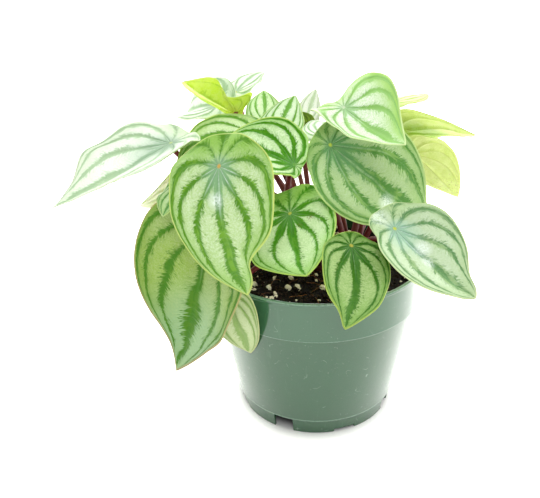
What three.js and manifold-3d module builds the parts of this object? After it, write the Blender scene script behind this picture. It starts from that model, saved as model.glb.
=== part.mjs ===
// Watermelon peperomia in a plastic nursery pot. Millimetres, +Z up.
// The pot stands on z = 0. The camera side of the plant is -Y.
import * as THREE from 'three';
import { mergeVertices } from 'three/addons/utils/BufferGeometryUtils.js';
import Module from 'manifold-3d';

const wasm = await Module();
wasm.setup();
const { Manifold, Mesh } = wasm;

// Where the pot's axis stands: the origin lies under the middle of the whole plant's box.
const potAxis = [18.45, -9.75];

// Pot
const potSides = 48;
const wall = 1.3;
const rimRadius = 53;
const rimHeight = 80;
const lipDepth = 1.6;
const bandLowRadius = 51.9;
const bandLowHeight = 60.5;
const bandStep = 0.7;
const bodyLowRadius = 41.2;
const footHeight = 7.6;
const footStep = 1;
const footRadius = 39.1;
const footFlare = 1.1;
const floorUnder = 6;
const slotWidth = 10;
const slotAngles = [-22.5, 67.5, 157.5, 247.5];
const notchWidth = 11;
const notchHeight = 1.9;
const notchAngles = [22.5, 112.5, 202.5, 292.5];
const sideSlotWidth = 6;
const sideSlotLow = 14;
const sideSlotHeight = 6.5;
const sideSlotAngles = [76, 256];
const softCorner = 0.4;

// The tools that cut the openings: radius of the middle and depth
const footCutRadius = 38;
const slotCutDepth = 14;
const notchCutDepth = 8;
const sideCutRadius = 42;
const sideCutDepth = 8;

// Soil
const soilLevel = 73.5;
const soilLump = 1.1;
const soilStepLow = 1.5;
const soilStepHigh = 1;
const soilHoleRise = 6;
const soilGap = 0.35;
const soilRings = [44, 33, 21, 10];
const rimTuck = 0.2;

// Stalks and crowns
const stalkRadius = 1.35;
const stalkSides = 6;
const stalkTaper = [1.12, 0.92];
const stalkRootOffset = 3.6;
const stalkRootDepth = 2.5;
const stalkEndStraight = 3;
const stalkRise = [0.12, 0.35];
const stalkDrop = 0.28;
const stalkSteps = { long: 9, short: 7, longFrom: 60 };
const crownRadius = 5.6;
const crownSides = 8;
const crownRoot = 60;
const crownTop = 79;
const crownShoulder = 2;
const crownCap = 0.6;
const seatGap = 0.4;
const crowns = {
  left: [-18, 4],
  front: [0, -2],
  right: [19, 5],
  back: [0, 20],
};

// Blades. flatBase: the share of the fold that fades out toward the end behind the joint.
const bladeThickness = 0.9;
const marginPoints = 18;
const rings = [0.4, 0.74, 1];
const keelSoftness = 4;
const waveHeight = 0.8;
const waveLobes = 5;
const flatBase = 0.7;
const normalStep = 0.05;

// The leaves. joint: where the stalk meets the blade. heading, pitch, roll: the way from
// the joint to the tip and the tilt about it, degrees. length, width: the flat blade. base: the part
// of the length behind the joint. taper: how quickly the sides run in to the tip. tipBend, baseBend:
// how far each end curls down, degrees. left, right: how far each half folds up. sway: sideways bow.
// wave, lobes, phase: a margin that waves more than the rest. dents: side (1 right, -1 left), place
// along the blade, reach and depth of a hollow in the margin, less than 0 for a bulge. via: where a
// bent stalk passes.
const leaves = [
  { name: 'leaf_far_left', crown: 'left', joint: [-65.8, -7, 138.1],
    heading: -136.7, pitch: -17.5, roll: 3.1, length: 72.3, width: 45.8, base: 0.158, taper: 1.169,
    tipBend: -1.3, baseBend: 2, left: 22.2, right: 23.4, sway: 0.042,
    dents: [[1, 0.64, 0.13, -0.38], [-1, 0.7, 0.15, 0.28]],
    via: [[-34, 8, 106], [-57, 0, 125]] },
  { name: 'leaf_curled', crown: 'left', joint: [-41.4, 40, 141.4],
    heading: 230.1, pitch: 31.8, roll: -27.3, length: 42.9, width: 39.8, base: 0.074, taper: 0.916,
    tipBend: 7.3, baseBend: -10.7, left: 28.8, right: 43.1, sway: -0.042,
    wave: 2, lobes: 3, phase: 59,
    dents: [[-1, 0.44, 0.228, 0.75]],
    via: [[-27, 24, 104], [-34, 35, 122], [-40, 38, 134]] },
  { name: 'leaf_top_pale', crown: 'back', joint: [-45.5, 79, 143.7],
    heading: 63, pitch: 27.4, roll: 4, length: 38, width: 23.8, base: 0.189, taper: 0.901,
    tipBend: 32.3, baseBend: 10, left: 13.8, right: 8.6, sway: 0.015,
    dents: [[1, 0.68, 0.15, 0.13], [-1, 0.49, 0.15, 0.25]],
    via: [[-20, 36, 106], [-37, 58, 126]] },
  { name: 'leaf_back_left', crown: 'back', joint: [-54, 60, 140.3],
    heading: 141.5, pitch: -4.9, roll: 35.4, length: 49.4, width: 34.8, base: 0.219, taper: 0.895,
    tipBend: 31, baseBend: 14.1, left: 27.5, right: 27.4, sway: 0.031 },
  { name: 'leaf_young_left', crown: 'back', joint: [-27.1, 48, 133.1],
    heading: 90.4, pitch: 45.4, roll: -5.1, length: 30.5, width: 20.4, base: 0.217, taper: 0.916,
    tipBend: 14.9, baseBend: 10, left: 6, right: 3.9, sway: -0.034,
    dents: [[1, 0.56, 0.15, -0.06], [-1, 0.61, 0.15, -0.06]] },
  { name: 'leaf_young_middle', crown: 'front', joint: [-20.5, 33, 129.1],
    heading: 61.8, pitch: 53.5, roll: -10.8, length: 35.4, width: 24.9, base: 0.23, taper: 0.912,
    tipBend: 24.2, baseBend: 10, left: 14.4, right: 9.9, sway: 0.048,
    dents: [[1, 0.53, 0.15, -0.09], [-1, 0.5, 0.15, 0.06]] },
  { name: 'leaf_sprout', crown: 'back', joint: [-6.5, 52, 131],
    heading: 40, pitch: 64, roll: -60, length: 27, width: 14, base: 0.22, taper: 0.9,
    tipBend: 15, baseBend: 10, left: 10, right: 10, sway: 0.03 },
  { name: 'leaf_upper_left', crown: 'left', joint: [-27.6, 16, 135.5],
    heading: -128.7, pitch: 1.5, roll: 15.3, length: 67.8, width: 46.8, base: 0.238, taper: 0.927,
    tipBend: 13, baseBend: 3.1, left: 4, right: 8, sway: 0.001,
    dents: [[1, 0.43, 0.13, 0.09]] },
  { name: 'leaf_cupped', crown: 'left', joint: [-9, -22, 132.2],
    heading: 176.3, pitch: 25.7, roll: 32.4, length: 36.7, width: 32.6, base: 0.11, taper: 0.8,
    tipBend: 27.4, baseBend: 19.1, left: 35, right: 37.4, sway: 0.117,
    dents: [[1, 0.02, 0.13, -0.3], [-1, 0.35, 0.12, -0.3]],
    via: [[-15, 6, 100], [-12, 4, 122]] },
  { name: 'leaf_large_front', crown: 'left', joint: [-36.2, -60, 143.6],
    heading: -95.7, pitch: -57.8, roll: -29, length: 66.2, width: 47.1, base: 0.202, taper: 0.921,
    tipBend: 49.2, baseBend: 10.5, left: -14.1, right: 16.4, sway: -0.02,
    dents: [[1, 0.31, 0.12, 0.09], [-1, 0.8, 0.11, 0.43]],
    via: [[-21, 3, 106], [-28, -21, 125]] },
  { name: 'leaf_hanging_left', crown: 'left', joint: [-45, -44, 116.1],
    heading: -167.5, pitch: -82.3, roll: 39.7, length: 89.7, width: 63.1, base: 0.12, taper: 0.989,
    tipBend: -7.5, baseBend: 6.7, left: 16.3, right: 30.5, sway: 0.108,
    dents: [[1, 0.93, 0.18, 0.45], [-1, 0.66, 0.08, -0.08]],
    via: [[-27, 1, 100], [-37, -20, 112]] },
  { name: 'leaf_faded', crown: 'front', joint: [-38.2, -46.5, 82.2],
    heading: -10, pitch: -78, roll: -98, length: 46.3, width: 26.2, base: 0.2, taper: 0.86,
    tipBend: 21, baseBend: 10, left: 8, right: 7, sway: 0.03,
    dents: [[-1, 0.21, 0.14, 0.14]] },
  { name: 'leaf_side_under', crown: 'left', joint: [-68, 6, 114],
    heading: -109, pitch: 9, roll: -53, length: 46, width: 27, base: 0.22, taper: 0.9,
    tipBend: 12, baseBend: 10, left: -1, right: -1, sway: 0 },
  { name: 'leaf_side_shaded', crown: 'left', joint: [-54, -36, 130],
    heading: -113, pitch: -14, roll: -19, length: 29, width: 21, base: 0.23, taper: 0.9,
    tipBend: 15, baseBend: 10, left: 3, right: 2, sway: 0,
    via: [[-25, 0, 103], [-42, -16, 121]] },
  { name: 'leaf_heart', crown: 'front', joint: [-11.6, -14.9, 106.7],
    heading: -84.4, pitch: -30, roll: -22.8, length: 57.7, width: 45.5, base: 0.268, taper: 0.836,
    tipBend: -19.4, baseBend: 5.3, left: 10.5, right: 4, sway: -0.185,
    dents: [[1, 0.75, 0.14, -0.22], [-1, 0.27, 0.16, 0.07]] },
  { name: 'leaf_large_right', crown: 'right', joint: [6.6, -9.7, 137.4],
    heading: -4.6, pitch: -38.8, roll: -51.5, length: 73.1, width: 51.6, base: 0.118, taper: 0.864,
    tipBend: 20.3, baseBend: -0.3, left: 15.2, right: 15.1, sway: -0.096,
    dents: [[1, 0.7, 0.13, 0.13], [-1, 0.93, 0.13, 0.3]] },
  { name: 'leaf_top_right', crown: 'right', joint: [12.2, -9, 153.9],
    heading: -51.6, pitch: -22.3, roll: -21.1, length: 53.1, width: 42.4, base: 0.193, taper: 1.013,
    tipBend: -28.1, baseBend: 41.6, left: 44, right: 26.5, sway: 0.009,
    dents: [[1, 0.37, 0.26, 0.38], [-1, 0.85, 0.15, 0.16]],
    via: [[22, 12, 110], [16, 13, 138], [12, 7, 151], [11, 0, 153]] },
  { name: 'leaf_pale_small', crown: 'right', joint: [3, 22, 133],
    heading: 83, pitch: 12, roll: -10, length: 31, width: 20, base: 0.22, taper: 0.9,
    tipBend: 15, baseBend: 9, left: 4, right: 5, sway: 0 },
  { name: 'leaf_front_rim', crown: 'front', joint: [15, -47, 105.1],
    heading: -79, pitch: -24.9, roll: 7.2, length: 47.1, width: 30.4, base: 0.134, taper: 0.777,
    tipBend: 2.3, baseBend: -40.9, left: 0, right: 17.9, sway: 0.267,
    dents: [[1, 0.92, 0.19, 0.44], [-1, 0.84, 0.13, -0.17]] },
  { name: 'leaf_front_right', crown: 'right', joint: [33.8, -36, 108.1],
    heading: -39.5, pitch: -34.2, roll: -12.4, length: 54.4, width: 43.4, base: 0.2, taper: 0.787,
    tipBend: -1.9, baseBend: -1.1, left: 22, right: 23.2, sway: -0.115,
    dents: [[1, 0.14, 0.12, 0.33], [-1, 0.86, 0.13, 0.32]] },
  { name: 'leaf_right_yellow', crown: 'right', joint: [41.2, 34, 131.7],
    heading: -52.8, pitch: 23.3, roll: 30, length: 67.8, width: 38, base: 0.212, taper: 0.943,
    tipBend: 24.9, baseBend: 9.2, left: 5.9, right: 4.6, sway: -0.06,
    dents: [[1, 0.63, 0.14, -0.22], [-1, 0.47, 0.15, 0.09]],
    via: [[26, 22, 100], [32, 33, 119]] },
  { name: 'leaf_right_hanging', crown: 'right', joint: [47.9, 21, 125.2],
    heading: 17, pitch: -38.8, roll: 42.6, length: 47.1, width: 33.5, base: 0.23, taper: 0.921,
    tipBend: 16.2, baseBend: 10, left: 6, right: 6.1, sway: -0.026,
    dents: [[1, 0.37, 0.12, 0.05], [-1, 0.64, 0.15, 0.1]] },
  { name: 'leaf_back_edge', crown: 'back', joint: [39, 52, 143],
    heading: 53, pitch: 0, roll: 5, length: 46, width: 30, base: 0.22, taper: 0.9,
    tipBend: 5, baseBend: 10, left: -1, right: 0, sway: 0 },
  { name: 'leaf_olive_small', crown: 'right', joint: [-3, 42, 133],
    heading: 150, pitch: 30, roll: 75, length: 16, width: 10, base: 0.22, taper: 0.9,
    tipBend: 8, baseBend: 8, left: 8, right: 8, sway: 0 },
  { name: 'leaf_rear_left', crown: 'back', joint: [-38, 58, 108],
    heading: 120, pitch: -24, roll: 8, length: 58, width: 41, base: 0.21, taper: 0.92,
    tipBend: 22, baseBend: 10, left: 10, right: 12, sway: 0.03 },
  { name: 'leaf_rear_middle', crown: 'back', joint: [-10, 68, 112],
    heading: 96, pitch: -10, roll: -5, length: 52, width: 37, base: 0.22, taper: 0.9,
    tipBend: 20, baseBend: 8, left: 12, right: 8, sway: -0.04 },
  { name: 'leaf_rear_right', crown: 'back', joint: [24, 60, 116],
    heading: 72, pitch: -10, roll: -6, length: 58, width: 42, base: 0.2, taper: 0.95,
    tipBend: 24, baseBend: 6, left: 9, right: 11, sway: 0.05 },
  { name: 'leaf_rear_low_right', crown: 'right', joint: [38, 46, 102],
    heading: 52, pitch: -30, roll: 5, length: 50, width: 36, base: 0.22, taper: 0.88,
    tipBend: 22, baseBend: 10, left: 14, right: 10, sway: -0.03 },
  { name: 'leaf_rear_low_left', crown: 'left', joint: [-46, 38, 100],
    heading: 148, pitch: -30, roll: 0, length: 52, width: 38, base: 0.2, taper: 0.9,
    tipBend: 18, baseBend: 10, left: 10, right: 13, sway: 0.04 },
  { name: 'leaf_rear_low', crown: 'back', joint: [16, 66, 88],
    heading: 80, pitch: -28, roll: 6, length: 50, width: 36, base: 0.21, taper: 0.92,
    tipBend: 20, baseBend: 8, left: 11, right: 9, sway: 0 },
];

const radians = (degrees) => (degrees * Math.PI) / 180;

// A closed geometry as a solid, its shared corners joined.
function toSolid(geometry) {
  const bare = geometry.index ? geometry.clone() : geometry;
  for (const name of Object.keys(bare.attributes)) {
    if (name !== 'position') bare.deleteAttribute(name);
  }
  const joined = mergeVertices(bare, 1e-4);
  const mesh = new Mesh({
    numProp: 3,
    vertProperties: new Float32Array(joined.attributes.position.array),
    triVerts: new Uint32Array(joined.index.array),
  });
  return new Manifold(mesh);
}

function toGeometry(solid) {
  const mesh = solid.getMesh();
  const geometry = new THREE.BufferGeometry();
  geometry.setAttribute('position', new THREE.BufferAttribute(new Float32Array(mesh.vertProperties), 3));
  geometry.setIndex(new THREE.BufferAttribute(new Uint32Array(mesh.triVerts), 1));
  geometry.computeVertexNormals();
  return geometry;
}

function indexed(points, triangles) {
  const geometry = new THREE.BufferGeometry();
  const flat = points.flatMap((p) => [p.x, p.y, p.z]);
  geometry.setAttribute('position', new THREE.Float32BufferAttribute(flat, 3));
  geometry.setIndex(triangles.flat());
  return geometry;
}

// A lathe stands about Y, so it is turned to stand about Z.
function turned(profile, sides) {
  const geometry = new THREE.LatheGeometry(profile.map(([r, z]) => new THREE.Vector2(r, z)), sides);
  geometry.rotateX(Math.PI / 2);
  return geometry;
}

// A box whose middle is at the given radius, angle from the front and height.
function boxAt(radius, degrees, low, depth, width, height) {
  const geometry = new THREE.BoxGeometry(depth, width, height);
  geometry.translate(radius, 0, low + height / 2);
  geometry.rotateZ(radians(degrees - 90));
  return geometry;
}

// Outer radius of the pot at a height, above the foot ring.
function potOuter(z) {
  const bodyTop = bandLowRadius - bandStep;
  if (z < bandLowHeight) {
    const t = (z - footHeight - footStep) / (bandLowHeight - footHeight - footStep);
    return bodyLowRadius + (bodyTop - bodyLowRadius) * t;
  }
  return bandLowRadius + ((rimRadius - bandLowRadius) * (z - bandLowHeight)) / (rimHeight - bandLowHeight);
}

function makePot() {
  const footTop = footRadius + footFlare;
  const innerBand = potOuter(rimHeight - lipDepth) - softCorner - wall;
  const profile = [
    [0, floorUnder],
    [footTop - softCorner - wall, floorUnder],
    [footRadius - wall, 0],
    [footRadius, 0],
    [footTop, footHeight],
    [bodyLowRadius, footHeight + footStep],
    [bandLowRadius - bandStep, bandLowHeight - softCorner],
    [bandLowRadius, bandLowHeight],
    [rimRadius - softCorner, rimHeight - lipDepth],
    [rimRadius, rimHeight - lipDepth + softCorner],
    [rimRadius, rimHeight],
    [rimRadius - wall - softCorner, rimHeight],
    [innerBand, rimHeight - lipDepth],
    [bandLowRadius - wall, bandLowHeight + softCorner],
    [bandLowRadius - bandStep - wall, bandLowHeight - softCorner],
    [bodyLowRadius - wall, footHeight + footStep],
    [footTop - wall, floorUnder + wall],
    [0, floorUnder + wall],
  ];
  let pot = toSolid(turned(profile, potSides));
  for (const angle of slotAngles) {
    const cut = boxAt(footCutRadius, angle, -1, slotCutDepth, slotWidth, footHeight + 1);
    pot = pot.subtract(toSolid(cut));
  }
  for (const angle of notchAngles) {
    const cut = boxAt(footCutRadius, angle, -1, notchCutDepth, notchWidth, notchHeight + 1);
    pot = pot.subtract(toSolid(cut));
  }
  for (const angle of sideSlotAngles) {
    const cut = boxAt(sideCutRadius, angle, sideSlotLow, sideCutDepth, sideSlotWidth, sideSlotHeight);
    pot = pot.subtract(toSolid(cut));
  }
  return pot;
}

// Height of the soil: low rolling lumps.
function soilTop(x, y) {
  const a = Math.sin(x * 0.21 + 0.7) * Math.cos(y * 0.17 - 0.4);
  const b = Math.sin(x * 0.43 - y * 0.37 + 1.9);
  return soilLevel + soilLump * (0.6 * a + 0.4 * b);
}

function makeSoil() {
  const inner = (z) => potOuter(z) - wall - soilGap;
  const low = floorUnder + wall + soilGap;
  const levels = [
    [footRadius + footFlare - wall - soilGap - rimTuck, low],
    [bodyLowRadius - wall - soilGap, footHeight + footStep + rimTuck],
    [inner(bandLowHeight - soilStepLow), bandLowHeight - soilStepLow],
    [inner(bandLowHeight + soilStepHigh) - rimTuck, bandLowHeight + soilStepHigh],
  ];
  const topRings = [inner(soilLevel) - rimTuck, ...soilRings];
  const points = [];
  const triangles = [];
  const place = (r, k, z) => {
    const angle = (2 * Math.PI * k) / potSides;
    const x = r * Math.sin(angle);
    const y = r * Math.cos(angle);
    points.push(new THREE.Vector3(x, y, z === null ? soilTop(x, y) : z));
  };
  for (const [r, z] of levels) {
    for (let k = 0; k < potSides; k += 1) place(r, k, z);
  }
  for (const r of topRings) {
    for (let k = 0; k < potSides; k += 1) place(r, k, null);
  }
  const rows = levels.length + topRings.length;
  for (let row = 0; row < rows - 1; row += 1) {
    for (let k = 0; k < potSides; k += 1) {
      const a = row * potSides + k;
      const b = row * potSides + ((k + 1) % potSides);
      triangles.push([a, a + potSides, b], [b, a + potSides, b + potSides]);
    }
  }
  const bottom = points.push(new THREE.Vector3(0, 0, low)) - 1;
  const top = points.push(new THREE.Vector3(0, 0, soilTop(0, 0))) - 1;
  const last = (rows - 1) * potSides;
  for (let k = 0; k < potSides; k += 1) {
    const next = (k + 1) % potSides;
    triangles.push([bottom, k, next], [top, last + next, last + k]);
  }
  let soil = toSolid(indexed(points, triangles));
  for (const [x, y] of Object.values(crowns)) {
    const hole = turned([[0, crownRoot - soilGap], [crownRadius + soilGap, crownRoot - soilGap],
      [crownRadius + soilGap, soilLevel + soilHoleRise], [0, soilLevel + soilHoleRise]], crownSides);
    hole.translate(x, y, 0);
    soil = soil.subtract(toSolid(hole));
  }
  return soil;
}

// The blade's own axes: right, tip and up.
function bladeFrame(leaf) {
  const h = radians(leaf.heading);
  const p = radians(leaf.pitch);
  const r = radians(leaf.roll);
  const tip = new THREE.Vector3(Math.cos(h) * Math.cos(p), Math.sin(h) * Math.cos(p), Math.sin(p));
  const level = new THREE.Vector3(Math.sin(h), -Math.cos(h), 0);
  const lift = new THREE.Vector3().crossVectors(level, tip);
  const right = level.clone().multiplyScalar(Math.cos(r)).addScaledVector(lift, Math.sin(r));
  const up = level.clone().multiplyScalar(-Math.sin(r)).addScaledVector(lift, Math.cos(r));
  return { right, tip, up };
}

// Half the blade's width on one side, at a fraction of its length from the base.
function halfWidth(leaf, t, side) {
  const widest = 0.5 / (0.5 + leaf.taper);
  const scale = Math.sqrt(widest) * (1 - widest) ** leaf.taper;
  let half = ((leaf.width / 2) * Math.sqrt(t) * (1 - t) ** leaf.taper) / scale;
  for (const [dentSide, place, reach, depth] of leaf.dents ?? []) {
    if (dentSide === side) half *= 1 - depth * Math.exp(-(((t - place) / reach) ** 2));
  }
  return half;
}

// A point of the upper face. across and along are measured on the flat blade from the joint, rim is
// how far out to the margin the point lies, and turn is its direction about the joint.
function bladePoint(leaf, frame, across, along, rim, turn) {
  const ahead = along >= 0;
  const bend = radians(ahead ? leaf.tipBend : leaf.baseBend) || 1e-6;
  const span = leaf.length * (ahead ? 1 - leaf.base : leaf.base);
  const curve = bend / span;
  const phi = curve * along;
  const behind = Math.min(1, Math.max(0, -along / span));
  const fold = radians(across < 0 ? leaf.left : leaf.right) * (1 - flatBase * behind);
  const reach = Math.abs(across);
  const tilt = (fold * reach) / (reach + keelSoftness);
  const x = Math.sign(across) * reach * Math.cos(tilt)
    + (ahead ? (leaf.sway * along * along) / span : 0);
  const lobes = (leaf.lobes ?? waveLobes) * turn + radians(leaf.phase ?? 7 * leaf.heading);
  const wave = (leaf.wave ?? waveHeight) * rim ** 3 * Math.sin(lobes);
  const n = reach * Math.sin(tilt) + wave;
  const y = Math.sin(phi) / curve + n * Math.sin(phi);
  const z = -(1 - Math.cos(phi)) / curve + n * Math.cos(phi);
  return new THREE.Vector3(...leaf.joint)
    .addScaledVector(frame.right, x)
    .addScaledVector(frame.tip, y)
    .addScaledVector(frame.up, z);
}

// Margin of the flat blade, from the base up the right side to the tip and down the left.
function margin(leaf) {
  const half = marginPoints / 2;
  const points = [];
  for (let k = 0; k < marginPoints; k += 1) {
    const side = k <= half ? k : marginPoints - k;
    const t = (1 - Math.cos((Math.PI * side) / half)) / 2;
    const hand = k <= half ? 1 : -1;
    const across = side === 0 || side === half ? 0 : hand * halfWidth(leaf, t, hand);
    points.push([across, (t - leaf.base) * leaf.length]);
  }
  return points;
}

function makeBlade(leaf) {
  const frame = bladeFrame(leaf);
  const edge = margin(leaf);
  const at = (rho, k) => {
    const [across, along] = edge[k];
    const turn = Math.atan2(across, along);
    const spot = (u, v) => bladePoint(leaf, frame, across * rho + u, along * rho + v, rho, turn);
    const du = spot(normalStep, 0).sub(spot(-normalStep, 0));
    const dv = spot(0, normalStep).sub(spot(0, -normalStep));
    const normal = new THREE.Vector3().crossVectors(du, dv).normalize();
    const upper = spot(0, 0);
    return [upper, upper.clone().addScaledVector(normal, -bladeThickness)];
  };
  const points = [];
  const triangles = [];
  const count = rings.length * marginPoints;
  const faces = [[], []];
  for (const rho of rings) {
    for (let k = 0; k < marginPoints; k += 1) {
      const [upper, lower] = at(rho, k);
      faces[0].push(upper);
      faces[1].push(lower);
    }
  }
  const middle = new THREE.Vector3(...leaf.joint);
  faces[0].push(middle);
  faces[1].push(middle.clone().addScaledVector(frame.up, -bladeThickness));
  points.push(...faces[0], ...faces[1]);
  const other = count + 1;
  for (let k = 0; k < marginPoints; k += 1) {
    const next = (k + 1) % marginPoints;
    triangles.push([count, k, next], [count + other, next + other, k + other]);
    for (let ring = 0; ring < rings.length - 1; ring += 1) {
      const a = ring * marginPoints + k;
      const b = ring * marginPoints + next;
      const c = a + marginPoints;
      const d = b + marginPoints;
      triangles.push([a, c, b], [b, c, d]);
      triangles.push([a + other, b + other, c + other], [b + other, d + other, c + other]);
    }
    const a = count - marginPoints + k;
    const b = count - marginPoints + next;
    triangles.push([a, a + other, b], [b, a + other, b + other]);
  }
  return toSolid(indexed(points, triangles));
}

// The way a stalk takes from its crown to the underside of its blade.
function stalkPath(leaf, root) {
  const { up } = bladeFrame(leaf);
  const end = new THREE.Vector3(...leaf.joint).addScaledVector(up, -(bladeThickness + seatGap));
  const start = new THREE.Vector3(...root);
  const span = start.distanceTo(end);
  if (leaf.via) {
    const middle = leaf.via.map((spot) => new THREE.Vector3(...spot));
    const below = end.clone().addScaledVector(up, -stalkEndStraight);
    return new THREE.CatmullRomCurve3([start, ...middle, below, end], false, 'centripetal');
  }
  const away = new THREE.Vector3(end.x - start.x, end.y - start.y, 0).normalize();
  const first = start.clone().addScaledVector(away, stalkRise[0] * span);
  first.z += stalkRise[1] * span;
  const second = end.clone().addScaledVector(up, -stalkDrop * span);
  return new THREE.CubicBezierCurve3(start, first, second, end);
}

// A round stalk, thinner toward the blade, closed at both ends.
function makeStalk(path, steps, up) {
  const points = [];
  const triangles = [];
  let side = new THREE.Vector3(1, 0, 0);
  for (let i = 0; i <= steps; i += 1) {
    const u = i / steps;
    const centre = path.getPoint(u);
    const tangent = i === steps ? up : path.getTangent(u);
    side = side.clone().addScaledVector(tangent, -side.dot(tangent)).normalize();
    const other = new THREE.Vector3().crossVectors(tangent, side);
    const radius = stalkRadius * THREE.MathUtils.lerp(...stalkTaper, u);
    for (let k = 0; k < stalkSides; k += 1) {
      const angle = (2 * Math.PI * k) / stalkSides;
      points.push(centre.clone()
        .addScaledVector(side, radius * Math.cos(angle))
        .addScaledVector(other, radius * Math.sin(angle)));
    }
  }
  for (let i = 0; i < steps; i += 1) {
    for (let k = 0; k < stalkSides; k += 1) {
      const a = i * stalkSides + k;
      const b = i * stalkSides + ((k + 1) % stalkSides);
      triangles.push([a, b, a + stalkSides], [b, b + stalkSides, a + stalkSides]);
    }
  }
  const last = steps * stalkSides;
  for (let k = 1; k < stalkSides - 1; k += 1) {
    triangles.push([0, k + 1, k], [last, last + k, last + k + 1]);
  }
  return toSolid(indexed(points, triangles));
}

// A crown with all its stalks, joined in one body.
function makeClump(name) {
  const [x, y] = crowns[name];
  const stump = turned([[0, crownRoot], [crownRadius, crownRoot], [crownRadius, crownTop - crownShoulder],
    [crownRadius * crownCap, crownTop], [0, crownTop]], crownSides);
  stump.translate(x, y, 0);
  let clump = toSolid(stump);
  const mine = leaves.filter((leaf) => leaf.crown === name);
  for (const leaf of mine) {
    const dx = leaf.joint[0] - x;
    const dy = leaf.joint[1] - y;
    const far = Math.hypot(dx, dy);
    const share = stalkRootOffset / far;
    const root = [x + share * dx, y + share * dy, crownTop - stalkRootDepth];
    const path = stalkPath(leaf, root);
    const steps = path.getLength() > stalkSteps.longFrom ? stalkSteps.long : stalkSteps.short;
    clump = clump.add(makeStalk(path, steps, bladeFrame(leaf).up));
  }
  return clump;
}

const looks = {
  pot: new THREE.MeshStandardMaterial({ color: '#5f8a72', roughness: 0.42, metalness: 0 }),
  soil: new THREE.MeshStandardMaterial({ color: '#2a211c', roughness: 0.95, metalness: 0 }),
  stalk: new THREE.MeshStandardMaterial({ color: '#7c3230', roughness: 0.5, metalness: 0 }),
  blade: new THREE.MeshStandardMaterial({ color: '#8fb978', roughness: 0.45, metalness: 0 }),
};

const plant = new THREE.Group();
plant.position.set(potAxis[0], potAxis[1], 0);

function addPiece(name, solid, look) {
  const mesh = new THREE.Mesh(toGeometry(solid), look);
  mesh.name = name;
  plant.add(mesh);
}

addPiece('pot', makePot(), looks.pot);
addPiece('soil', makeSoil(), looks.soil);
for (const name of Object.keys(crowns)) {
  addPiece(`stalks_${name}`, makeClump(name), looks.stalk);
}
for (const leaf of leaves) {
  addPiece(leaf.name, makeBlade(leaf), looks.blade);
}

export default plant;
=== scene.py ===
# Watermelon peperomia in a plastic nursery pot: the looks of its leaves, stalks, soil and pot.
# Sizes and places of the plant and the pot are millimetres and degrees in the pot's own frame.
# Those of the lights, the room and the floor are metres, and so are all finished meshes.
import math
import random

import bmesh
import bpy
import numpy as np
from mathutils import Matrix, Vector, noise


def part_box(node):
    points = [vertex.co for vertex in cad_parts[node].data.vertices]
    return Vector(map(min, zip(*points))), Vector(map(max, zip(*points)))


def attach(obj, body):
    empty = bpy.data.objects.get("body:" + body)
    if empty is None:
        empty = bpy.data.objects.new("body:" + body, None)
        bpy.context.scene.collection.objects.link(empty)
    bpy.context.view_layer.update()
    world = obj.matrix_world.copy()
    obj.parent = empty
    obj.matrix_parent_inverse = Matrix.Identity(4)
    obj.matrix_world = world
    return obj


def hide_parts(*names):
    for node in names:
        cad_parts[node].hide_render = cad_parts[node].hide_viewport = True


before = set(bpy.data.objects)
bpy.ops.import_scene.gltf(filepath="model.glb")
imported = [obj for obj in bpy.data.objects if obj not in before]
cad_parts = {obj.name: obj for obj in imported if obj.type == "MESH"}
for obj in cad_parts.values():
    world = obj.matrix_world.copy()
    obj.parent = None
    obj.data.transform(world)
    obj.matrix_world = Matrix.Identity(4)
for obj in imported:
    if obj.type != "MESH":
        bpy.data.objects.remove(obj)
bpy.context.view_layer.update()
potLow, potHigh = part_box("pot")
potAxis = Vector(((potLow.x + potHigh.x) / 2, (potLow.y + potHigh.y) / 2, 0))
mm = 0.001
print("frame loaded, pot axis at", [round(v, 4) for v in potAxis])


def addObject(name, data):
    thing = bpy.data.objects.new(name, data)
    bpy.context.scene.collection.objects.link(thing)
    return thing


def newPiece(name, points, faces, materials, slot, smooth=True):
    mesh = bpy.data.meshes.new(name)
    mesh.from_pydata([tuple(Vector(p) * mm + potAxis) for p in points], [], faces)
    for material in materials:
        mesh.materials.append(material)
    if smooth:
        mesh.polygons.foreach_set("use_smooth", [True] * len(faces))
    mesh.update()
    piece = addObject(name, mesh)
    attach(piece, "root")
    return piece


def setPoints(piece, name, values):
    # three numbers for each point of the mesh, for its material to read
    attribute = piece.data.attributes.new(name, "FLOAT_VECTOR", "POINT")
    attribute.data.foreach_set("vector", np.array(values, np.float32).ravel())


# Camera

cameraSpec = {"place": (0, -295, 217.5), "pitch": -24.65, "yaw": 4.33, "roll": -1.56, "lens": 43.6,
              "sensor": 36, "nearest": 10}


def makeCamera(spec):
    data = bpy.data.cameras.new("photoCamera")
    data.sensor_width = spec["sensor"]
    data.lens = spec["lens"]
    data.clip_start = spec["nearest"] * mm
    camera = addObject("photoCamera", data)
    camera.location = Vector(spec["place"]) * mm + potAxis
    turn = Matrix.Rotation(math.radians(spec["yaw"]), 3, "Z")
    tilt = Matrix.Rotation(math.radians(90 + spec["pitch"]), 3, "X")
    lean = Matrix.Rotation(math.radians(spec["roll"]), 3, "Z")
    camera.rotation_euler = (turn @ tilt @ lean).to_euler()
    bpy.context.scene.camera = camera


makeCamera(cameraSpec)
print("camera made")


# Small helpers for shader nodes

def paint(code):
    parts = [int(code[k:k + 2], 16) / 255 for k in (1, 3, 5)]
    linear = [c / 12.92 if c <= 0.04045 else ((c + 0.055) / 1.055) ** 2.4 for c in parts]
    return (*linear, 1)


def addNode(tree, kind, **settings):
    node = tree.nodes.new(kind)
    for key, value in settings.items():
        setattr(node, key, value)
    return node


def feed(tree, socket, value):
    # a link from another socket, or else a fixed value
    if isinstance(value, bpy.types.NodeSocket):
        tree.links.new(value, socket)
    else:
        socket.default_value = value


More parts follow.
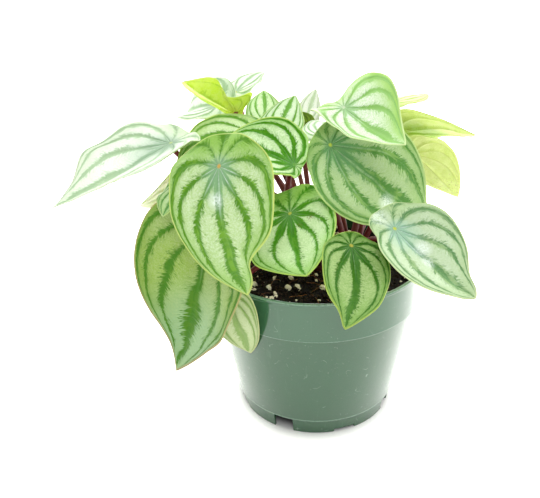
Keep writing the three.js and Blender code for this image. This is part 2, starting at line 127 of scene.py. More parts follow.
def calc(tree, operation, *values):
    node = addNode(tree, "ShaderNodeMath", operation=operation)
    for socket, value in zip(node.inputs, values):
        feed(tree, socket, value)
    return node.outputs[0]


def times(tree, result, *factors):
    for factor in factors:
        result = calc(tree, "MULTIPLY", result, factor)
    return result


def plus(tree, result, *others):
    for other in others:
        result = calc(tree, "ADD", result, other)
    return result


def minus(tree, first, second):
    return calc(tree, "SUBTRACT", first, second)


def ramp(tree, value, low, high, start=0.0, end=1.0, smooth=True):
    node = addNode(tree, "ShaderNodeMapRange", interpolation_type="SMOOTHSTEP" if smooth else "LINEAR")
    for socket, number in zip(node.inputs, (value, low, high, start, end)):
        feed(tree, socket, number)
    return node.outputs[0]


def blend(tree, mask, first, second):
    node = addNode(tree, "ShaderNodeMix", data_type="RGBA")
    factor, colourA, colourB, result = node.inputs[0], node.inputs[6], node.inputs[7], node.outputs[2]
    for socket, value in ((factor, mask), (colourA, first), (colourB, second)):
        feed(tree, socket, value)
    return result


def tint(tree, skin, mask, strength, code):
    # another colour over the skin, as far as the mask lets it through
    return blend(tree, times(tree, mask, strength), skin, paint(code))


def grainNoise(tree, place, scale, detail=3.0, rough=0.5):
    node = addNode(tree, "ShaderNodeTexNoise")
    for label, value in (("Vector", place), ("Scale", scale), ("Detail", detail), ("Roughness", rough)):
        feed(tree, node.inputs[label], value)
    return node.outputs[0]


def swing(tree, place, scale, detail=3.0, rough=0.5):
    # the same noise, but about zero
    return minus(tree, grainNoise(tree, place, scale, detail, rough), 0.5)


def join(tree, x, y, z):
    node = addNode(tree, "ShaderNodeCombineXYZ")
    for socket, value in zip(node.inputs, (x, y, z)):
        feed(tree, socket, value)
    return node.outputs[0]


def split(tree, vector):
    node = addNode(tree, "ShaderNodeSeparateXYZ")
    feed(tree, node.inputs[0], vector)
    return node.outputs


def distanceFrom(tree, place, spot):
    node = addNode(tree, "ShaderNodeVectorMath", operation="DISTANCE")
    feed(tree, node.inputs[0], place)
    feed(tree, node.inputs[1], spot)
    return node.outputs["Value"]


def objectPlace(tree):
    return addNode(tree, "ShaderNodeTexCoord").outputs["Object"]


def meshValues(tree, name):
    return addNode(tree, "ShaderNodeAttribute", attribute_name=name).outputs["Vector"]


def newGroup(name, inputs, outputs):
    # inputs are vectors where their value is None, and numbers otherwise
    group = bpy.data.node_groups.new(name, "ShaderNodeTree")
    for label, value in inputs.items():
        kind = "NodeSocketVector" if value is None else "NodeSocketFloat"
        socket = group.interface.new_socket(name=label, in_out="INPUT", socket_type=kind)
        if value is not None:
            socket.default_value = value
    for label in outputs:
        group.interface.new_socket(name=label, in_out="OUTPUT", socket_type="NodeSocketFloat")
    source = group.nodes.new("NodeGroupInput")
    result = group.nodes.new("NodeGroupOutput")
    return group, source.outputs, result.inputs


def placeGroup(tree, group, **values):
    node = addNode(tree, "ShaderNodeGroup", node_tree=group)
    for label, value in values.items():
        feed(tree, node.inputs[label], value)
    return node.outputs


def newMaterial(name):
    material = bpy.data.materials.new(name)
    material.use_nodes = True
    return material, material.node_tree


def setShader(tree, values):
    shader = tree.nodes["Principled BSDF"]
    for label, value in values.items():
        feed(tree, shader.inputs[label], value)


def bump(tree, height, distance, strength):
    node = addNode(tree, "ShaderNodeBump")
    for label, value in (("Height", height), ("Distance", distance), ("Strength", strength)):
        feed(tree, node.inputs[label], value)
    return node.outputs["Normal"]


# Lights, room and floor

lightSpec = {
    "top": {"place": (-0.2, 0.3, 1.2), "aim": 0.1, "size": (1.4, 1.2), "watts": 4.0, "tint": "#ffffff"},
    "front": {"place": (0.12, -1.0, 0.95), "aim": 0.08, "size": (0.5, 0.5), "watts": 6.5, "tint": "#fbfdff"},
    "side": {"place": (1.1, 0.35, 0.5), "aim": 0.05, "size": (0.9, 1.1), "watts": 5.0, "tint": "#fffefa"},
}
roomSpec = {"tint": "#ffffff", "front": 0.25, "back": 2.5, "frontReach": -0.7, "backReach": 0.8}
# the floor glows as a light; dimInside and dimOutside fade that glow near the pot as painted shade, and shade
# is a painted shadow inside the pot's foot
floorSpec = {"half": 14.0, "tint": "#f6f5f3", "rough": 0.8, "glow": 0.6, "dimInside": 0.038,
             "dimOutside": 0.0465, "frontReach": -0.06, "backReach": 0.06, "frontGlow": 0.7, "backGlow": 3.0,
             "shade": "#1c1917", "shadeInside": 0.0305, "shadeOutside": 0.0395}


def makeLight(name, spec):
    data = bpy.data.lights.new(name + "Light", "AREA")
    data.shape = "RECTANGLE"
    data.size, data.size_y = spec["size"]
    data.energy = spec["watts"]
    data.color = paint(spec["tint"])[:3]
    lamp = addObject(name + "Light", data)
    lamp.location = Vector(spec["place"]) + potAxis
    look = Vector((0, 0, spec["aim"])) - Vector(spec["place"])
    lamp.rotation_euler = look.to_track_quat("-Z", "Y").to_euler()


def makeRoom(spec):
    # bright walls at the sides and the back, a dimmer one on the viewer's side, and plain white to look at
    world = bpy.data.worlds.new("paleRoom")
    bpy.context.scene.world = world
    world.use_nodes = True
    tree = world.node_tree
    tree.nodes.clear()
    way = split(tree, addNode(tree, "ShaderNodeTexCoord").outputs["Generated"])["Y"]
    bright = ramp(tree, way, spec["frontReach"], spec["backReach"], spec["front"], spec["back"], smooth=False)
    lit = addNode(tree, "ShaderNodeBackground")
    feed(tree, lit.inputs["Color"], paint(spec["tint"]))
    feed(tree, lit.inputs["Strength"], bright)
    seen = addNode(tree, "ShaderNodeBackground")
    feed(tree, seen.inputs["Color"], paint("#ffffff"))
    mix = addNode(tree, "ShaderNodeMixShader")
    path = addNode(tree, "ShaderNodeLightPath")
    for socket, value in zip(mix.inputs, (path.outputs["Is Camera Ray"], lit.outputs[0], seen.outputs[0])):
        feed(tree, socket, value)
    end = addNode(tree, "ShaderNodeOutputWorld")
    feed(tree, end.inputs["Surface"], mix.outputs[0])


def floorMaterial(spec):
    material, tree = newMaterial("palePaper")
    place = objectPlace(tree)
    away = distanceFrom(tree, place, potAxis)
    # it glows a little as a light for the plant and pot, more behind it, and less so under and around the
    # pot, where the missing glow is painted shade
    dim = ramp(tree, away, spec["dimInside"], spec["dimOutside"], 0.0, spec["glow"])
    behind = ramp(tree, split(tree, place)["Y"], spec["frontReach"], spec["backReach"],
                  spec["frontGlow"], spec["backGlow"], smooth=False)
    # and has a painted shadow, dark inside the pot's foot, where the drain slots show it
    paintedFootShade = ramp(tree, away, spec["shadeInside"], spec["shadeOutside"], smooth=False)
    setShader(tree, {"Base Color": blend(tree, paintedFootShade, paint(spec["shade"]), paint(spec["tint"])),
                     "Roughness": spec["rough"], "Emission Color": paint(spec["tint"]),
                     "Emission Strength": times(tree, dim, behind)})
    return material


def makeFloor(spec):
    mesh = bpy.data.meshes.new("paleFloor")
    half = spec["half"]
    corners = [(-half, -half, 0), (half, -half, 0), (half, half, 0), (-half, half, 0)]
    mesh.from_pydata(corners, [], [(0, 1, 2, 3)])
    mesh.materials.append(floorMaterial(spec))
    floor = addObject("paleFloor", mesh)


for lampName, lampSpec in lightSpec.items():
    makeLight(lampName, lampSpec)
makeRoom(roomSpec)
makeFloor(floorSpec)
bpy.context.scene.view_settings.view_transform = "Standard"
print("lights, room and floor made")


# Shared shader groups: their noise scales are per millimetre on the leaves and per metre elsewhere

veinSpec = {
    "angles": (0, 32, 66, 104, 146, 180),  # main veins, degrees about the joint from the tip
    "tipVeins": 130.0,  # veins that start within this angle run to the tip, the rest end at the margin
    "spread": 2.5,  # a high number bends more of the rest toward the tip
    "curl": 4.0,  # how late the veins turn to the tip
    "narrowest": 0.015,  # keeps the division at the margin safe
    "wanderPitch": 0.07, "patchPitch": 0.2, "tissue": (1.6, 5.0, 0.7),
    "slant": 7.0,  # mm by which the barbs lean to the tip between two veins
    "comb": {"pitch": 1.1, "run": 1.3, "detail": 3.0, "rough": 0.65, "shift": 0.0},
    "hairs": {"pitch": 2.2, "run": 0.8, "detail": 2.0, "rough": 0.6, "shift": 40.0},
    "streaks": {"pitch": 7.0, "run": 0.16, "detail": 3.0, "rough": 0.6, "shift": 80.0},
    "joinedWidth": 0.42, "patchy": 0.14, "hairCore": 0.4, "lineWidth": 0.22, "jointRag": 0.3,
}
# where each change along the blade or from vein to vein begins and ends, then its two values (else 0 and 1)
veinRamps = {
    "wander": (0.05, 0.4, 0.0, 0.16), "middleVein": (0.0, 1.0, 1.3, 0.95), "lastVein": (3.3, 3.7, 1.0, 0.55),
    "outerVeins": (1.8, 3.0), "outerRim": (0.4, 0.85, 0.1, 0.5), "swell": (0.3, 0.6, 0.85, 1.1),
    "tipNarrow": (0.6, 0.86, 1.0, 0.7), "ragOuter": (3.0, 4.0, 1.0, 2.2), "bandEdge": (-0.06, 0.03, 1.0, 0.0),
    "fringe": (2.3, 2.9), "hairWidth": (0.0, 0.2, 0.07, 0.021), "hairReach": (0.0, 0.3, 1.0, 0.35),
    "hairPatches": (-0.14, 0.06, 1.0, 0.45), "line": (0.004, 0.036, 1.0, 0.0),
    "lineOuter": (2.6, 3.4, 1.0, 0.3), "lineBroken": (-0.16, 0.12, 0.35, 1.0), "margin": (0.975, 0.99),
    "spot": (0.5, 1.15, 1.0, 0.0), "quilt": (0.0, 0.2), "stria": (-0.06, 0.16), "streak": (0.48, 0.62),
}


def veinBandsGroup(spec, ramps):
    inputs = {"Place": None, "Length": 60.0, "Seed": 0.0, "Width": 0.17, "Feather": 0.5, "Ray": 0.35,
              "Joint": 0.3, "Merge": 0.3}
    outputs = ("Band", "Ray", "Joint", "Margin", "Spot", "Tissue", "Height", "Stria", "Streak")
    group, source, result = newGroup("veinBands", inputs, outputs)
    across, along, rim = split(group, source["Place"])
    distance = distanceFrom(group, join(group, across, along, 0), (0, 0, 0))
    reach = calc(group, "DIVIDE", distance, source["Length"])
    shifted = join(group, across, along, source["Seed"])
    # the angle at which the vein through this point leaves the joint
    drift = swing(group, shifted, spec["wanderPitch"], 1.0)
    turn = calc(group, "ARCTAN2", across, along)
    turn = plus(group, turn, times(group, drift, ramp(group, reach, *ramps["wander"])))
    turn = calc(group, "ABSOLUTE", turn)
    span = calc(group, "POWER", calc(group, "DIVIDE", turn, math.pi), spec["spread"])
    tipVeins = math.radians(spec["tipVeins"])
    span = calc(group, "MULTIPLY_ADD", span, math.pi - tipVeins, tipVeins)
    shrink = minus(group, 1.0, calc(group, "DIVIDE", turn, span))
    shrink = minus(group, 1.0, times(group, shrink, calc(group, "POWER", rim, spec["curl"])))
    opened = calc(group, "DIVIDE", turn, calc(group, "MAXIMUM", shrink, spec["narrowest"]))
    order = 0.0  # 0 on the middle vein, 1 on the next one out, and so on
    limits = [math.radians(angle) for angle in spec["angles"]]
    for low, high in zip(limits, limits[1:]):
        order = plus(group, order, ramp(group, opened, low, high, smooth=False))
    away = calc(group, "PINGPONG", order, 0.5)

    def grainAlong(path, pitch, run, detail, rough, shift):
        # noise drawn out along the veins
        seed = plus(group, source["Seed"], shift)
        place = join(group, times(group, order, pitch), times(group, path, run), seed)
        return grainNoise(group, place, 1.0, detail, rough)

    # fine barbs that leave each vein toward the tip
    slanted = minus(group, distance, times(group, away, spec["slant"]))
    comb = minus(group, grainAlong(slanted, **spec["comb"]), 0.5)
    hair = calc(group, "ABSOLUTE", minus(group, grainAlong(slanted, **spec["hairs"]), 0.5))
    patch = swing(group, shifted, spec["patchPitch"], 2.0)
    # the dark band: wide by the joint and on the middle vein, narrower at the tip and on the last vein
    merge = ramp(group, rim, times(group, source["Merge"], 0.2), source["Merge"], spec["joinedWidth"], 0.0)
    outer = times(group, ramp(group, order, *ramps["outerVeins"]), ramp(group, rim, *ramps["outerRim"]))
    outer = plus(group, ramp(group, order, *ramps["middleVein"], smooth=False), outer)
    swell = ramp(group, rim, *ramps["swell"])
    width = times(group, source["Width"], outer, swell, ramp(group, reach, *ramps["tipNarrow"]))
    width = times(group, plus(group, width, merge), ramp(group, order, *ramps["lastVein"]))
    rag = times(group, comb, source["Feather"], ramp(group, order, *ramps["ragOuter"]))
    edge = minus(group, plus(group, away, rag, times(group, patch, spec["patchy"])), width)
    fringe = ramp(group, order, *ramps["fringe"])
    thin = times(group, ramp(group, edge, *ramps["hairWidth"]), plus(group, 1.0, times(group, fringe, 0.9)))
    barbs = times(
        group, ramp(group, hair, times(group, thin, spec["hairCore"]), thin, 1.0, 0.0),
        ramp(group, edge, *ramps["hairReach"]), ramp(group, patch, *ramps["hairPatches"]),
        ramp(group, away, 0.3, 0.5, 1.0, plus(group, 0.4, times(group, fringe, 0.55))))
    feed(group, result["Band"], calc(group, "MAXIMUM", ramp(group, edge, *ramps["bandEdge"]), barbs))
    # the pale line on each vein, which fades toward the margin
    thread = times(group, away, plus(group, spec["lineWidth"], reach))
    fade = ramp(group, rim, times(group, source["Ray"], 0.35), source["Ray"], 1.0, 0.0)
    feed(group, result["Ray"], times(
        group, ramp(group, thread, *ramps["line"]), ramp(group, order, *ramps["lineOuter"]),
        ramp(group, plus(group, patch, comb), *ramps["lineBroken"]), fade))
    near = plus(group, rim, times(group, comb, spec["jointRag"]))
    joint = source["Joint"]
    feed(group, result["Joint"], ramp(group, near, times(group, joint, 0.2), joint, 1.0, 0.0))
    feed(group, result["Margin"], ramp(group, rim, *ramps["margin"]))
    feed(group, result["Spot"], ramp(group, distance, *ramps["spot"]))
    tissue = grainNoise(group, shifted, *spec["tissue"])
    feed(group, result["Tissue"], tissue)
    quilt = ramp(group, away, *ramps["quilt"])
    feed(group, result["Height"], plus(group, quilt, times(group, comb, 0.9), times(group, tissue, 0.5)))
    feed(group, result["Stria"], ramp(group, comb, *ramps["stria"]))
    # pale streaks that run along the veins
    feed(group, result["Streak"], ramp(group, grainAlong(distance, **spec["streaks"]), *ramps["streak"]))
    return group


def grainGroup():
    # plain noise, and spots where it is high: Cover is how much they take and Soft how soft their edge is
    group, source, result = newGroup(
        "surfaceGrain", {"Place": None, "Scale": 100.0, "Cover": 0.5, "Soft": 0.1}, ("Grain", "Spots"))
    grain = grainNoise(group, source["Place"], source["Scale"], 4.0, 0.6)
    feed(group, result["Grain"], grain)
    limit = minus(group, 1.0, source["Cover"])
    soft = source["Soft"]
    feed(group, result["Spots"], ramp(group, grain, minus(group, limit, soft), plus(group, limit, soft)))
    return group


def scratchGroup():
    # thin lines where one noise crosses its middle, kept only in the patches of another
    group, source, result = newGroup(
        "scratchLines", {"Place": None, "Scale": 60.0, "Thin": 0.01, "Cover": 0.4}, ("Lines",))
    line = calc(group, "ABSOLUTE", swing(group, source["Place"], source["Scale"], 1.0, 0.4))
    line = ramp(group, line, times(group, source["Thin"], 0.4), source["Thin"], 1.0, 0.0)
    spread = addNode(group, "ShaderNodeVectorMath", operation="ADD")
    feed(group, spread.inputs[0], source["Place"])
    feed(group, spread.inputs[1], (3.1, 1.7, 5.3))
    patch = grainNoise(group, spread.outputs[0], times(group, source["Scale"], 1.7), 1.0)
    limit = minus(group, 1.0, source["Cover"])
    patch = ramp(group, patch, minus(group, limit, 0.03), plus(group, limit, 0.03))
    feed(group, result["Lines"], times(group, line, patch))
    return group


veinBands = veinBandsGroup(veinSpec, veinRamps)
surfaceGrain = grainGroup()
scratchLines = scratchGroup()
print("shader groups made")


# Leaf materials

leafTones = {  # silver field, lime, dark band, haze by the joint, ray on the veins, rim
    "fresh": ("#c6d8ac", "#88b048", "#4c8414", "#8cb294", "#c4dcc4", "#c4d870"),
    "front": ("#c0d2a8", "#7aaa34", "#477c14", "#88ac8e", "#c0d4c0", "#bccc6c"),
    "vivid": ("#dff0cc", "#86c03a", "#388100", "#6c9c64", "#a0c890", "#bcd868"),
    "dusky": ("#a0b87a", "#5c8c24", "#275f00", "#5c8c54", "#8cb47c", "#a8c058"),
    "deep": ("#9cb170", "#668a1c", "#366f01", "#6c9458", "#94b078", "#b4cc60"),
    "bright": ("#eef4e8", "#98c65a", "#8cbc68", "#b0d0b0", "#d4e6c8", "#cce09c"),
    "limy": ("#d4e49c", "#b4cc60", "#a4c458", "#b8cc90", "#d0dc9c", "#dce8a8"),
    "ghost": ("#fbfdf6", "#e6f0d6", "#c4dab2", "#e0ecd8", "#eef4e6", "#d8e8b8"),
    "olive": ("#78982f", "#6c8a28", "#5e7e24", "#748e40", "#889c50", "#8cac44"),
    "young": ("#d8ecc2", "#a0c870", "#64a032", "#9cc488", "#bcd8a4", "#bcd680"),
    "misty": ("#e4ecdf", "#c4d8b2", "#98b48c", "#86a48a", "#ccdac8", "#d4dec0"),
    "bleached": ("#dee8d8", "#c0d6aa", "#90b280", "#b4c8b4", "#ccd8c8", "#d0dcb8"),
    "shaded": ("#acc294", "#86ac58", "#4b8036", "#64966c", "#b0c8a0", "#b4cc7c"),
    "cool": ("#bfd0b2", "#a4be86", "#56844c", "#a0c6b4", "#d0e2dc", "#c8d69e"),
    "faded": ("#bcc8a0", "#aab880", "#7e9c56", "#a0b090", "#b8c4a8", "#c0c68a"),
}
underTones = {  # flesh, veins, pale clouds
    "lime": ("#cde634", "#8cb810", "#e0ee88"),
    "pale": ("#e6eac4", "#bcc884", "#f6f6dc"),
    "straw": ("#c6d478", "#b4c264", "#e6ecac"),
    "yellow": ("#c6da64", "#b0ca50", "#e0eaa4"),
    "olive": ("#7c9830", "#607c24", "#94ac4c"),
    "green": ("#a8c27a", "#84a258", "#c4d29a"),
}
skinSpec = {"specular": 0.13, "backReach": (4, -10), "backLime": 0.85, "sideReach": (-4, 5), "outTo": 0.97,
            "mottle": 0.5, "stria": 0.25, "bandMottle": 0.2, "bandStria": 0.08, "margin": 0.8,
            "rough": 0.27, "roughVary": 0.2, "coatRough": 0.2, "relief": 0.0004, "reliefStrength": 0.6}
underSpec = {"bandWidth": 0.07, "feather": 0.15, "ray": 0.7, "haze": 0.25, "merge": 0.1, "tissue": 0.45,
             "cloud": 0.4, "veins": 0.5, "margin": 0.6, "scar": "#7a4a24", "scarFrom": (0.3, 0.66),
             "rough": 0.48, "glow": 0.25, "glowDepth": 0.002, "glowTint": (0.8, 1.0, 0.25), "relief": 0.0003,
             "reliefStrength": 0.4}


def addMarks(tree, skin, place, tissue, marks):
    # soft spots of another colour, broken up by the tissue
    for spot, reach, code, low, high in marks:
        near = ramp(tree, distanceFrom(tree, place, (*spot, 0)), 0.2 * reach, reach, 1.0, 0.0)
        skin = tint(tree, skin, near, ramp(tree, tissue, low, high, 0.0, 0.75), code)
    return skin


def leafBands(tree, leaf, look, seed):
    place = meshValues(tree, "leafPlace")
    bands = placeGroup(tree, veinBands, Place=place, Length=leaf["length"], Seed=seed,
                       Width=look["bandWidth"], Feather=look["feather"], Ray=look["ray"],
                       Joint=look["haze"], Merge=look["merge"])
    return place, bands


def topMaterial(leaf, look, seed):
    s = skinSpec
    silverTone, lime, band, haze, ray, rimTone = leafTones[look["tone"]]
    material, tree = newMaterial("top_" + leaf["name"])
    place, bands = leafBands(tree, leaf, look, seed)
    across, along, rim = split(tree, place)
    flat = join(tree, across, along, 0)
    # the fields between the veins are lime toward the margin and behind the joint
    outward = ramp(tree, rim, look["edgeFrom"], s["outTo"])
    if look["limeSide"]:
        beside = ramp(tree, times(tree, across, look["limeSide"]), *s["sideReach"], 0.2, 1.0)
        outward = times(tree, outward, beside)
    backward = ramp(tree, along, *s["backReach"])
    sunny = calc(tree, "MAXIMUM", times(tree, outward, look["edge"]), times(tree, backward, s["backLime"]))
    silver = tint(tree, paint(silverTone), sunny, 1.0, lime)
    silver = tint(tree, silver, ramp(tree, bands["Tissue"], 0.35, 0.68), s["mottle"], lime)
    silver = tint(tree, silver, bands["Stria"], s["stria"], lime)
    silver = addMarks(tree, silver, flat, bands["Tissue"], look["patches"])
    dark = tint(tree, paint(band), ramp(tree, bands["Tissue"], 0.35, 0.7), s["bandMottle"], lime)
    dark = tint(tree, dark, bands["Stria"], s["bandStria"], haze)
    dark = tint(tree, dark, bands["Streak"], look["streaks"], lime)
    skin = blend(tree, bands["Band"], silver, dark)
    skin = tint(tree, skin, bands["Joint"], look["hazeStrength"], haze)
    skin = tint(tree, skin, bands["Ray"], look["rayStrength"], ray)
    # painted highlights (glare spots) and real scars, from the marks list
    skin = addMarks(tree, skin, flat, bands["Tissue"], look["marks"])
    skin = tint(tree, skin, bands["Margin"], s["margin"], look.get("rimTone", rimTone))
    skin = tint(tree, skin, bands["Spot"], 1.0, look["spot"])
    setShader(tree, {"Base Color": skin, "Specular IOR Level": s["specular"],
                     "Roughness": plus(tree, s["rough"], times(tree, bands["Tissue"], s["roughVary"])),
                     "Coat Weight": look["sheen"], "Coat Roughness": s["coatRough"],
                     "Normal": bump(tree, bands["Height"], s["relief"], s["reliefStrength"])})
    return material


def underMaterial(leaf, look, seed):
    s = underSpec
    fleshTone, vein, pale = underTones[look["under"]]
    material, tree = newMaterial("under_" + leaf["name"])
    place, bands = leafBands(tree, leaf, s, seed)
    cloud = placeGroup(tree, surfaceGrain, Place=place, Scale=0.2, Cover=0.5, Soft=0.14)
    flesh = tint(tree, paint(fleshTone), ramp(tree, bands["Tissue"], 0.3, 0.7), s["tissue"], pale)
    flesh = tint(tree, flesh, cloud["Spots"], s["cloud"], pale)
    flesh = tint(tree, flesh, bands["Band"], s["veins"], vein)
    flesh = tint(tree, flesh, bands["Margin"], s["margin"], pale)
    if look["brown"]:
        along = calc(tree, "DIVIDE", split(tree, place)["Y"], leaf["length"])
        specks = times(tree, ramp(tree, along, *s["scarFrom"]), ramp(tree, bands["Tissue"], 0.55, 0.62))
        flesh = tint(tree, flesh, specks, look["brown"], s["scar"])
    relief = minus(tree, 1.0, bands["Height"])
    setShader(tree, {"Base Color": flesh, "Specular IOR Level": skinSpec["specular"], "Roughness": s["rough"],
                     "Subsurface Weight": s["glow"], "Subsurface Scale": s["glowDepth"],
                     "Subsurface Radius": s["glowTint"],
                     "Normal": bump(tree, relief, s["relief"], s["reliefStrength"])})
    return material


# Leaves, with the looks and shapes that differ from the plain one

plainLook = dict(tone="deep", under="green", bandWidth=0.17, feather=0.34, ray=0.45, rayStrength=0.7,
                 haze=0.35, hazeStrength=0.4, merge=0.42, streaks=0.22, edge=0.6, edgeFrom=0.7, limeSide=0,
                 spot="#c8cc58", sheen=0.03, brown=0, patches=(), marks=())
# paintedGlare is a painted highlight, a pale spot where a lamp's sheen falls; scar is a real brown scar
paintedGlare = ("#ecf4f0", 0.3, 0.64)
scar = ("#7a4c2c", 0.5, 0.57)
leafLooks = {
    "far_left": dict(tone="misty", ray=0.35, bandWidth=0.14, haze=0.62, hazeStrength=0.7, spot="#b8cc88"),
    "curled": dict(tone="bright", under="lime"),
    "top_pale": dict(tone="bleached"),
    "back_left": dict(tone="bleached", under="yellow"),
    "young_left": dict(tone="young", bandWidth=0.125),
    "young_middle": dict(tone="young", bandWidth=0.135, patches=[((0, 14), 30, "#dcecd4", 0.0, 0.9)]),
    "sprout": dict(tone="ghost", under="pale", bandWidth=0.12),
    "upper_left": dict(tone="fresh", bandWidth=0.15),
    "cupped": dict(tone="vivid", bandWidth=0.175, haze=0.25, merge=0.5, spot="#74a850"),
    "large_front": dict(tone="front", bandWidth=0.15, feather=0.42, ray=0.46, rayStrength=0.8, haze=0.45,
                        hazeStrength=0.6, streaks=0.5, spot="#c8a050", sheen=0.08,
                        marks=[((1.5, 13), 4.4, *paintedGlare)]),
    "hanging_left": dict(tone="deep", bandWidth=0.125, feather=0.45, rimTone="#a89a68",
                         patches=[((12, 26), 24, "#86a62c", 0.1, 0.9), ((-6, 60), 40, "#90b48e", 0.0, 0.7)]),
    "faded": dict(tone="faded"),
    "side_under": dict(tone="fresh", under="pale", brown=0.6),
    "side_shaded": dict(tone="shaded"),
    "heart": dict(tone="vivid", bandWidth=0.1, feather=0.42, ray=0.35, rayStrength=0.4, haze=0.3, merge=0.62,
                  marks=[((-9.8, 6.5), 3, *scar), ((-4, 9), 2, *scar)]),
    "large_right": dict(tone="shaded", bandWidth=0.185, feather=0.5, ray=0.95, rayStrength=0.4, haze=0.5,
                        hazeStrength=0.5, streaks=0.6, spot="#b8cc50", sheen=0.08,
                        marks=[((6, 38), 6.5, *paintedGlare)]),
    "top_right": dict(tone="bright", bandWidth=0.16, merge=0.3, edge=0.95, edgeFrom=0.5, limeSide=-1,
                      spot="#cce0b8"),
    "pale_small": dict(tone="bleached"),
    "front_rim": dict(tone="dusky", bandWidth=0.12, feather=0.42, rayStrength=0.5, hazeStrength=0.2,
                      merge=0.58, spot="#b8b048"),
    "front_right": dict(tone="cool", bandWidth=0.14, haze=0.5, hazeStrength=0.6, merge=0.36, streaks=0.6,
                        spot="#c4d050", sheen=0.12,
                        marks=[((2, -8), 7, *paintedGlare), ((-3, 14), 5, *paintedGlare), ((1, 20), 4, *paintedGlare)]),
    "right_yellow": dict(tone="fresh", under="yellow"),
    "right_hanging": dict(tone="fresh", under="straw", brown=0.7),
    "back_edge": dict(tone="limy", under="yellow"),
    "olive_small": dict(tone="olive", under="olive"),
}

